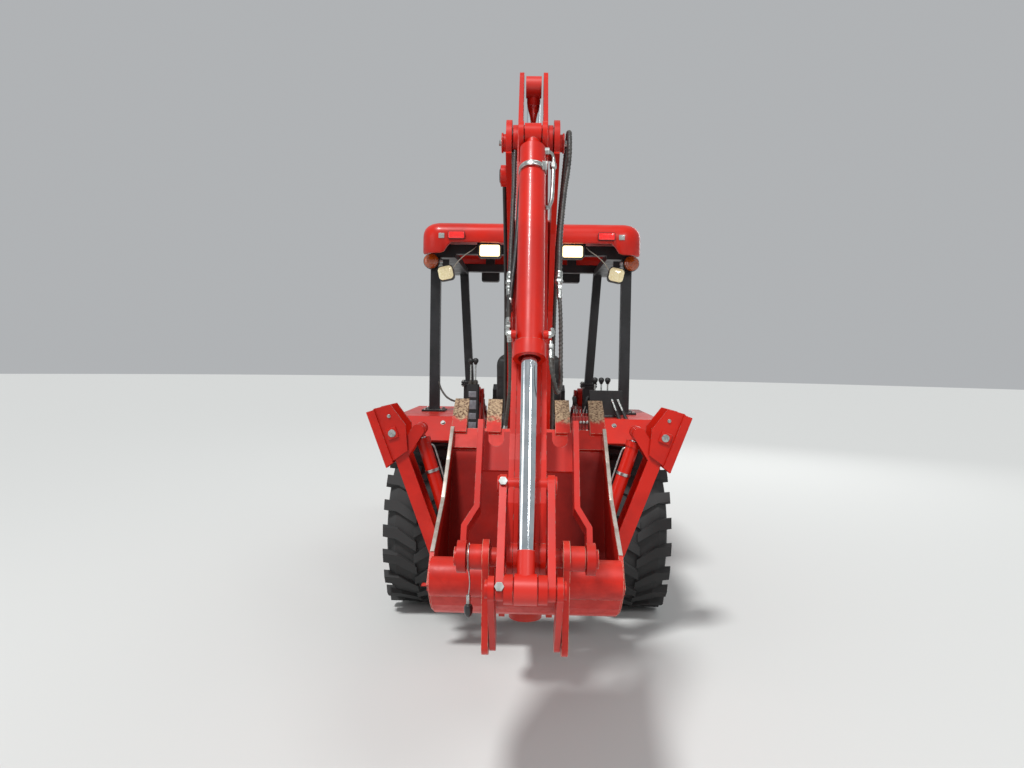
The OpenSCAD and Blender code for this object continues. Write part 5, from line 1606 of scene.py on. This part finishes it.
@dataclass
class Stabilizers:
    """Pad pins with square washers, clamp bands, and the hoses to the stabilizers' cylinders."""

    middle_y: float = -840.0
    toe: tuple[float, float] = (725.4, 1199.3)
    base: tuple[float, float] = (385.0, 555.0)
    eye: tuple[float, float] = (592.0, 1215.0)
    lean: float = 20.5
    washer_half: Triple = (29.0, 5.0, 29.0)
    washer_out: float = 103.0
    pin_out: float = 107.5
    bolt_out: float = 98.0
    bolt_up: float = 92.0
    bolt_in: float = 14.0

    def build(self) -> None:
        """Makes both sides."""
        for s, side in SIDES:
            self._pad(s, side)
            self._cylinder(s, side)

    def _pad(self, s: int, side: str) -> None:
        """The square washer, the pin's bright end and the bolt above it.

        Args:
            s: -1 on the left, 1 on the right.
            side: The side's name.
        """
        x, z = self.toe
        washer, steel = bmesh.new(), bmesh.new()
        centre = place(s * x, self.middle_y - self.washer_out, z)
        half = Vector(self.washer_half) * MM
        lean = Matrix.Rotation(math.radians(s * self.lean), 3, "Y")
        block(washer, centre - half, centre + half, 2.5, lean)
        mesh_piece(f"pad_washer_{side}", washer, ENAMEL, f"pad_{side}")
        end = [(-2, 21), (2.2, 21), (4, 19.5), (4, 12), (0.8, 11.5), (0.8, 1)]
        turned(steel, place(s * x, self.middle_y - self.pin_out, z), REARWARD, end, 28)
        mesh_piece(f"pad_pin_end_{side}", steel, ZINC, f"stabilizer_{side}")
        bolts = Fasteners(f"pad_bolts_{side}", f"pad_{side}", across=14, height=7, washer=20)
        sin, cos = math.sin(math.radians(self.lean)), math.cos(math.radians(self.lean))
        x, z = (
            s * (x - self.bolt_in * cos + self.bolt_up * sin),
            z + self.bolt_in * sin + self.bolt_up * cos,
        )
        bolts.add(place(x, self.middle_y - self.bolt_out, z), REARWARD)
        bolts.build()

    def _cylinder(self, s: int, side: str) -> None:
        """The band, the line along the barrel and the hose from the frame.

        Args:
            s: -1 on the left, 1 on the right.
            side: The side's name.
        """
        steel, inward, rear = bmesh.new(), Vector((-s, 0, 0)), Vector((0, -0.034, 0))
        way = Vector((s * (self.eye[0] - self.base[0]), 0, self.eye[1] - self.base[1]))
        way.normalize()
        foot = place(s * self.base[0], self.middle_y, self.base[1])
        out = (inward - way * inward.dot(way)).normalized()
        strap = [(0, 39.2), (0, 40.2), (16, 40.2), (16, 39.2)]
        turned(steel, foot + way * 0.448, way, strap, 40)
        turned(steel, foot + way * 0.11 + rear, REARWARD, [(0, 11), (12, 11), (13, 8)], 6)
        line = [foot + way * 0.13 + out * 0.03 + Vector((0, -0.02, 0))]
        for along, off in ((0.15, 0.047), (0.35, 0.049), (0.56, 0.049), (0.595, 0.036)):
            line.append(foot + way * along + out * off)
        swept(steel, smooth_path(line, 6), 5, count=12)
        barrel = f"stabilizer_barrel_{side}"
        mesh_piece(f"stabilizer_cylinder_steel_{side}", steel, ZINC, barrel)
        port = foot + way * 0.11 + Vector((0, -0.05, 0))
        run = route(
            (s * 196, -880, 738), (s * 198, -884, 792), (s * 222, -892, 850), (s * 262, -898, 884),
            (s * 310, -902, 892), (s * 356, -906, 868), (s * 388, -910, 818), (s * 408, -910, 752),
        )
        run += [port + Vector((-s * 0.002, -0.013, 0.045)), port]
        Hose(f"stabilizer_hose_{side}", "frame", run, 11.5, onto=barrel, lay="loose").build()


@dataclass
class Seat:
    """Padded seat and back of black vinyl with sewn channels, on a moulded shell.

    The floor, the centres and the half sizes are in millimetres, the rest in metres.
    """

    floor: float = 1108.3
    cushion_centre: Triple = (0.0, 342.0, 1166.3)
    cushion_half: Triple = (228.0, 208.0, 38.0)
    cushion_lean: float = -2.0
    back_centre: Triple = (0.0, 146.0, 1462.0)
    back_half: Triple = (228.0, 31.0, 186.0)
    back_lean: float = 8.0
    voxel: float = 0.007
    pressure: float = 4.0
    frames: int = 20
    cap: float = 0.009
    seam: float = 0.007
    seam_depth: float = 0.006
    crown: float = 0.010
    channels: Triple = (-0.5, 0.0, 0.5)

    def build(self) -> None:
        """Makes both cushions and the shell."""
        level = Matrix.Rotation(math.radians(self.cushion_lean), 3, "X")
        lean = Matrix.Rotation(math.radians(self.back_lean), 3, "X")
        for name, centre, half, turn, thin in (
            ("seat_cushion", self.cushion_centre, self.cushion_half, level, "Z"),
            ("back_cushion", self.back_centre, self.back_half, lean, "Y"),
        ):
            self._cushion(name, place(*centre), Vector(half) * MM, turn, thin)
        shell, z = bmesh.new(), self.floor
        block(shell, place(-232, 132, z), place(232, 556, z + 16), 7)
        block(shell, place(-64, 96, z + 20), place(64, 128, z + 190), 9, lean)
        block(shell, place(-64, 104, z + 4), place(64, 190, z + 30), 8)
        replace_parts(mesh_piece("seat_shell", shell, MOULDED_BLACK, "seat", "seat_vinyl"), "seat")

    def _cushion(self, name: str, centre: Vector, half: Vector, turn: Matrix, thin: str) -> None:
        """One cushion: a rounded block, puffed by cloth pressure, then sewn.

        Args:
            name: The piece's name.
            centre: Its middle, in metres.
            half: Half its size before it is puffed.
            turn: Its lean.
            thin: The axis across its thickness.
        """
        shape, axis = bmesh.new(), "XYZ".index(thin)
        bmesh.ops.create_cube(shape, size=2.0, matrix=Matrix.Diagonal((*half, 1.0)))
        upright = [e for e in shape.edges if abs((e.verts[0].co - e.verts[1].co)[axis]) > 1e-6]
        bmesh.ops.bevel(
            shape, geom=upright, offset=0.075, segments=6, profile=0.5, affect="EDGES"
        )
        bmesh.ops.bevel(
            shape, geom=list(shape.edges), offset=min(half) * 0.42, segments=2, profile=0.5,
            affect="EDGES",
        )
        mesh = bpy.data.meshes.new(name)
        shape.to_mesh(mesh)
        shape.free()
        maker = link_object(name + "_maker", mesh)
        remesh = maker.modifiers.new("even", "REMESH")
        remesh.mode = "VOXEL"
        remesh.voxel_size = self.voxel
        self._puff(maker)
        puffed = evaluated_mesh(maker)
        bpy.data.objects.remove(maker)
        self._sew(puffed, half, axis)
        puffed.transform(Matrix.Translation(centre) @ turn.to_4x4())
        cushion = finish_piece(name, puffed, SEAT_VINYL, "seat")
        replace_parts(cushion, "seat")

    def _puff(self, maker: bpy.types.Object) -> None:
        """Swells a cushion with cloth pressure and keeps its shape within a cap.

        Args:
            maker: The object that has the cushion's mesh and its even remesh.
        """
        even = evaluated_mesh(maker)
        maker.modifiers.clear()
        start = [v.co.copy() for v in even.vertices]
        maker.data = even
        cloth = maker.modifiers.new("puff", "CLOTH").settings
        cloth.use_pressure = True
        cloth.uniform_pressure_force = self.pressure
        cloth.effector_weights.gravity = 0.0
        cloth.quality = 5
        scene = bpy.context.scene
        for frame_number in range(1, self.frames + 1):
            scene.frame_set(frame_number)
        after = evaluated_mesh(maker)
        for vertex, home, puffed in zip(even.vertices, start, after.vertices):
            moved = puffed.co - home
            vertex.co = home + moved * min(1.0, self.cap / max(1e-9, moved.length))
        maker.modifiers.clear()
        bpy.data.meshes.remove(after)
        scene.frame_set(1)
        maker.data.update()

    def _sew(self, mesh: bpy.types.Mesh, half: Vector, axis: int) -> None:
        """Presses the sewn channels into a cushion's broad faces and crowns it.

        Args:
            mesh: The cushion, level and at the origin.
            half: Half its size before it was puffed, in metres.
            axis: The number of the axis across its thickness.
        """
        other = 1 if axis == 2 else 2
        for vertex in mesh.vertices:
            x, rise = vertex.co.x / half.x, vertex.co[other] / half[other]
            broad = min(1.0, abs(vertex.co[axis]) / half[axis])
            crown = max(0.0, 1 - x * x) * max(0.0, 1 - rise * rise)
            press = cross = 0.0
            if abs(rise) < 0.78:
                gaps = [(x - line) * half.x / self.seam for line in self.channels]
                press = sum(math.exp(-(gap**2)) for gap in gaps)
            if abs(x) < 0.86:
                cross = math.exp(-(((abs(rise) - 0.8) * half[other] / self.seam) ** 2))
            out = math.copysign(1, vertex.co[axis]) * broad**4
            sewn = self.seam_depth * min(1.0, press + cross)
            vertex.co[axis] += out * (self.crown * crown - sewn)


@dataclass
class TreadPlate:
    """Raised lozenges rolled into the floor."""

    top: float = 798.0
    rear: float = 604.0
    pitch: float = 30.0
    length: float = 22.0
    width: float = 7.0
    height: float = 1.8
    columns: int = 18
    rows: int = 13
    post_x: float = 470.0
    post_clear: float = 62.0
    post_rear: float = 860.0
    step: tuple[float, float] = (440.0, 668.0)

    @staticmethod
    def _pattern(tree: bpy.types.NodeTree, given: bpy.types.NodeOutputs) -> tuple[Socket, Socket]:
        """A flattened ball, turned by the point's own angle.

        Args:
            tree: The tree that gets the nodes.
            given: The tree's inputs.

        Returns:
            The lozenge's socket and its rotation's.
        """
        sizes = {"Segments": 8, "Rings": 4, "Radius": 0.5}
        ball = add_node(tree, "GeometryNodeMeshUVSphere", sizes)
        links = {"X": given["Length"], "Y": given["Width"], "Z": given["Height"]}
        size = add_node(tree, "ShaderNodeCombineXYZ", links)
        links = {"Geometry": ball.outputs["Mesh"], "Scale": size.outputs[0]}
        flat = add_node(tree, "GeometryNodeTransform", links)
        angle = add_node(
            tree, "GeometryNodeInputNamedAttribute", {"Name": "angle"}, {"data_type": "FLOAT"}
        )
        turn = add_node(tree, "ShaderNodeCombineXYZ", {"Z": angle.outputs[0]})
        return flat.outputs[0], turn.outputs[0]

    def build(self) -> None:
        """Lays the lozenges on the floor, clear of the posts and the rear corners."""
        spots, angles = [], []
        for i in range(-self.columns, self.columns + 1):
            for j in range(self.rows):
                x, y = i * self.pitch, self.rear + j * self.pitch
                at_post = abs(abs(x) - self.post_x) < self.post_clear and y > self.post_rear
                at_corner = abs(x) > self.step[0] and y < self.step[1]
                if at_post or at_corner:
                    continue
                spots.append(place(x, y, self.top))
                angles.append(math.radians(45 if (i + j) % 2 else -45))
        seeds = bpy.data.meshes.new("tread_spots")
        seeds.from_pydata(spots, [], [])
        seeds.attributes.new("angle", "FLOAT", "POINT").data.foreach_set("value", angles)
        values = {
            "Length": self.length * MM, "Width": self.width * MM, "Height": 2 * self.height * MM
        }
        tree = scatter_tree("tread_lozenges", tuple(values), self._pattern)
        grown_piece("tread_lozenges", seeds, tree, values, POWDER_BLACK, "frame")


@dataclass
class Loader:
    """Steel lines on the loader arms with their clamps, and the pins' bolts."""

    arm_x: float = 430.0
    arm_t: float = 60.0
    line_in: float = 9.0
    line_radius: float = 7.0
    line_lifts: tuple[float, float] = (22.0, -2.0)
    run: tuple[tuple[float, float], ...] = (
        (1400, 1232), (1800, 1122), (2080, 1045), (2160, 998), (2290, 908),
    )
    clamps: tuple[tuple[float, float], ...] = ((1480, 1220), (1760, 1144), (2020, 1072))
    pins: tuple[tuple[float, float], ...] = ((2330, 880), (2040, 900))

    def build(self) -> None:
        """Makes the loader's pieces for both sides."""
        bolts = Fasteners("loader_arm_bolts", "loader_arms", across=19, height=9, washer=30)
        for s, side in SIDES:
            x = s * (self.arm_x - self.arm_t / 2 - self.line_in)
            steel = bmesh.new()
            for lift in self.line_lifts:
                path = smooth_path(route(*((x, y, z + lift) for y, z in self.run)), 12)
                swept(steel, path, self.line_radius, count=12)
            for y, z in self.clamps:
                block(steel, place(x - 9, y - 11, z - 24), place(x + 9, y + 11, z + 36), 2)
            mesh_piece(f"arm_lines_{side}", steel, BARREL_BLACK, "loader_arms")
            for y, z in self.pins:
                bolts.add(place(s * (self.arm_x + self.arm_t / 2), y, z), Vector((s, 0, 0)))
        bolts.build()


@dataclass
class Engine:
    """What shows on the engine when the hood stands open. Places as x, y, z in millimetres."""

    cleaner: tuple[float, float] = (-150.0, 1160.0)
    fan: Triple = (0.0, 2034.0, 960.0)
    blades: int = 7
    blade_turn: float = 32.0

    def build(self) -> None:
        """Makes the rocker cover, air cleaner, manifold, radiator, battery and fan."""
        cast, black, steel = (bmesh.new() for _ in range(3))
        block(cast, place(-75, 1390, 1094), place(75, 1950, 1142), 12)
        for i in range(5):
            nut = [(0, 12), (3, 12), (4, 9), (12, 9), (13, 6)]
            turned(steel, place(0, 1440 + i * 115, 1142), UP, nut, 6)
        x, z = self.cleaner
        can = [(0, 40), (4, 58), (14, 62), (300, 62), (310, 58), (314, 20)]
        turned(black, place(x, 1420, z), FORWARD, can, 40)
        for i in range(4):
            hoop = [(0, 62.2), (0, 63.4), (10, 63.4), (10, 62.2)]
            turned(steel, place(x, 1500 + i * 60, z), FORWARD, hoop, 40)
        pipe = [(0, 20), (8, 26), (330, 26), (338, 18)]
        turned(cast, place(150, 1500, 1108), FORWARD, pipe, 24)
        for i in range(4):
            way = Vector((0.75, 0, 0.2))
            turned(cast, place(92, 1520 + i * 96, 1096), way, [(0, 19), (60, 19)], 16)
        block(black, place(-235, 2230, 800), place(235, 2290, 1190), 6)
        block(black, place(-180, 2100, 980), place(0, 2210, 1150), 5)
        for x in (-150, -40):
            turned(steel, place(x, 2155, 1150), UP, [(0, 9), (16, 8), (17, 5)], 14)
        self._fan(steel, black)
        mesh_piece("engine_castings", cast, CAST_GREY, "frame")
        mesh_piece("engine_plastics", black, MOULDED_BLACK, "frame")
        mesh_piece("engine_bright_parts", steel, ZINC, "frame")

    def _fan(self, steel: Shape, black: Shape) -> None:
        """The fan's pulley, its blades and its hub.

        Args:
            steel: The shape that takes the pulley.
            black: The shape that takes the blades and the hub.
        """
        x, y, z = self.fan
        pulley = [(0, 52), (14, 52), (15, 34), (60, 34), (61, 8)]
        turned(steel, place(x, y, z), FORWARD, pulley, 32)
        half = Vector((0.078, 0.002, 0.03))
        for k in range(self.blades):
            a = 2 * math.pi * k / self.blades
            way = Vector((math.cos(a), 0, math.sin(a)))
            middle = place(x, y + 76, z) + way * 0.1
            turn = Matrix((way, FORWARD, way.cross(FORWARD))).transposed()
            turn = turn @ Matrix.Rotation(math.radians(self.blade_turn), 3, "X")
            block(black, middle - half, middle + half, 0.8, turn)
        turned(black, place(x, y + 72, z), FORWARD, [(0, 30), (30, 30), (31, 10)], 24)


@dataclass
class Studio:
    """Floor, soft lights and the camera at the photograph's angle."""

    eye: Triple = (0.0, -5.122, 1.6)
    yaw: float = 1.37
    pitch: float = 1.94
    roll: float = 0.9
    focal_px: float = 710.0
    width_px: float = 1024.0
    sensor: float = 36.0
    floor_radius: float = 60.0

    def camera(self) -> None:
        """Sets the camera."""
        data = bpy.data.cameras.new("photo_camera")
        data.sensor_width = self.sensor
        data.lens = self.focal_px * self.sensor / self.width_px
        data.clip_end = 200
        camera = link_object("photo_camera", data)
        turn = Matrix.Identity(4)
        for degrees, axis in ((self.yaw, "Z"), (90 - self.pitch, "X"), (self.roll, "Z")):
            turn = turn @ Matrix.Rotation(math.radians(degrees), 4, axis)
        camera.matrix_world = Matrix.Translation(self.eye) @ turn
        bpy.context.scene.camera = camera

    @staticmethod
    def _aim(lamp: bpy.types.Object, spot: Triple, target: Triple) -> None:
        """Stands a lamp at a spot and turns it to a target.

        Args:
            lamp: The lamp.
            spot: Where it stands, in metres.
            target: What it shines at.
        """
        way = Vector(target) - Vector(spot)
        facing = way.to_track_quat("-Z", "Y").to_matrix().to_4x4()
        lamp.matrix_world = Matrix.Translation(spot) @ facing

    def light(self, name: str, spot: Triple, size: float, power: float, target: Triple) -> None:
        """Adds a square soft light.

        Args:
            name: Its name.
            spot: Where it stands, in metres.
            size: The length of its side.
            power: Its power in watts.
            target: What it shines at.
        """
        data = bpy.data.lights.new(name, "AREA")
        data.shape = "SQUARE"
        data.size = size
        data.energy = power
        self._aim(link_object(name, data), spot, target)

    def sun(self, way: Triple, strength: float, spread: float) -> None:
        """Adds a soft sun.

        Args:
            way: The side that it shines from.
            strength: Its strength.
            spread: Its width in degrees.
        """
        data = bpy.data.lights.new("even_sun", "SUN")
        data.energy = strength
        data.angle = math.radians(spread)
        self._aim(link_object("even_sun", data), way, (0.0, 0.0, 0.0))

    def build(self) -> None:
        """Makes the floor, the lights and the surrounding."""
        shape = bmesh.new()
        bmesh.ops.create_circle(shape, cap_ends=True, radius=self.floor_radius, segments=96)
        mesh = bpy.data.meshes.new("studio_floor")
        shape.to_mesh(mesh)
        shape.free()
        plain = bpy.data.materials.new("pale_floor")
        plain.use_nodes = True
        surface = plain.node_tree.nodes["Principled BSDF"]
        surface.inputs["Base Color"].default_value = linear("#C9CAC8")
        surface.inputs["Roughness"].default_value = 0.85
        mesh.materials.append(plain)
        link_object("studio_floor", mesh)
        world = bpy.data.worlds.new("soft_studio")
        bpy.context.scene.world = world
        world.use_nodes = True
        back = world.node_tree.nodes["Background"]
        back.inputs["Color"].default_value = linear("#F0F3F6")
        back.inputs["Strength"].default_value = 0.5
        self.light("key_light", (2.6, -7.5, 5.5), 1.6, 120, (0, -1.5, 1.4))
        self.light("fill_light", (-5.5, -4.0, 3.0), 3.0, 40, (0, -1.0, 1.2))
        self.light("front_light", (4.0, 7.0, 4.5), 3.5, 110, (0, 1.0, 0.8))
        self.sun((-1.1, -2.0, 3.8), 2.7, 9)
        view = bpy.context.scene.view_settings
        view.view_transform = "Standard"
        view.look = "None"


def paint_nodes(nodes: dict[str, bpy.types.Object]) -> None:
    """Gives each CAD node its finish through its own material slots.

    Args:
        nodes: The CAD nodes by name.
    """
    for name, node in nodes.items():
        finish = NODE_FINISHES.get(name, ENAMEL).build()
        if not node.material_slots:
            node.data.materials.append(finish)
        for slot in node.material_slots:
            slot.link = "OBJECT"
            slot.material = finish
        LOG.info("%s: %s", name, finish.name)


def main() -> None:
    """Builds the looks in order and logs each piece."""
    logging.basicConfig(level=logging.INFO, format="%(message)s", stream=sys.stdout)
    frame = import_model()
    studio = Studio()
    studio.camera()
    studio.build()
    paint_nodes(frame["nodes"])
    for assembly in (
        Lamps(), Canopy(), Posts(), Seat(), Controls(), ValveBank(), TreadPlate(), Wheels(),
        Loader(), Engine(), Stabilizers(), Dipper(), Boom(), DiggingBucket(),
    ):
        LOG.info("building %s", type(assembly).__name__)
        assembly.build()


if __name__ == "__main__":
    main()
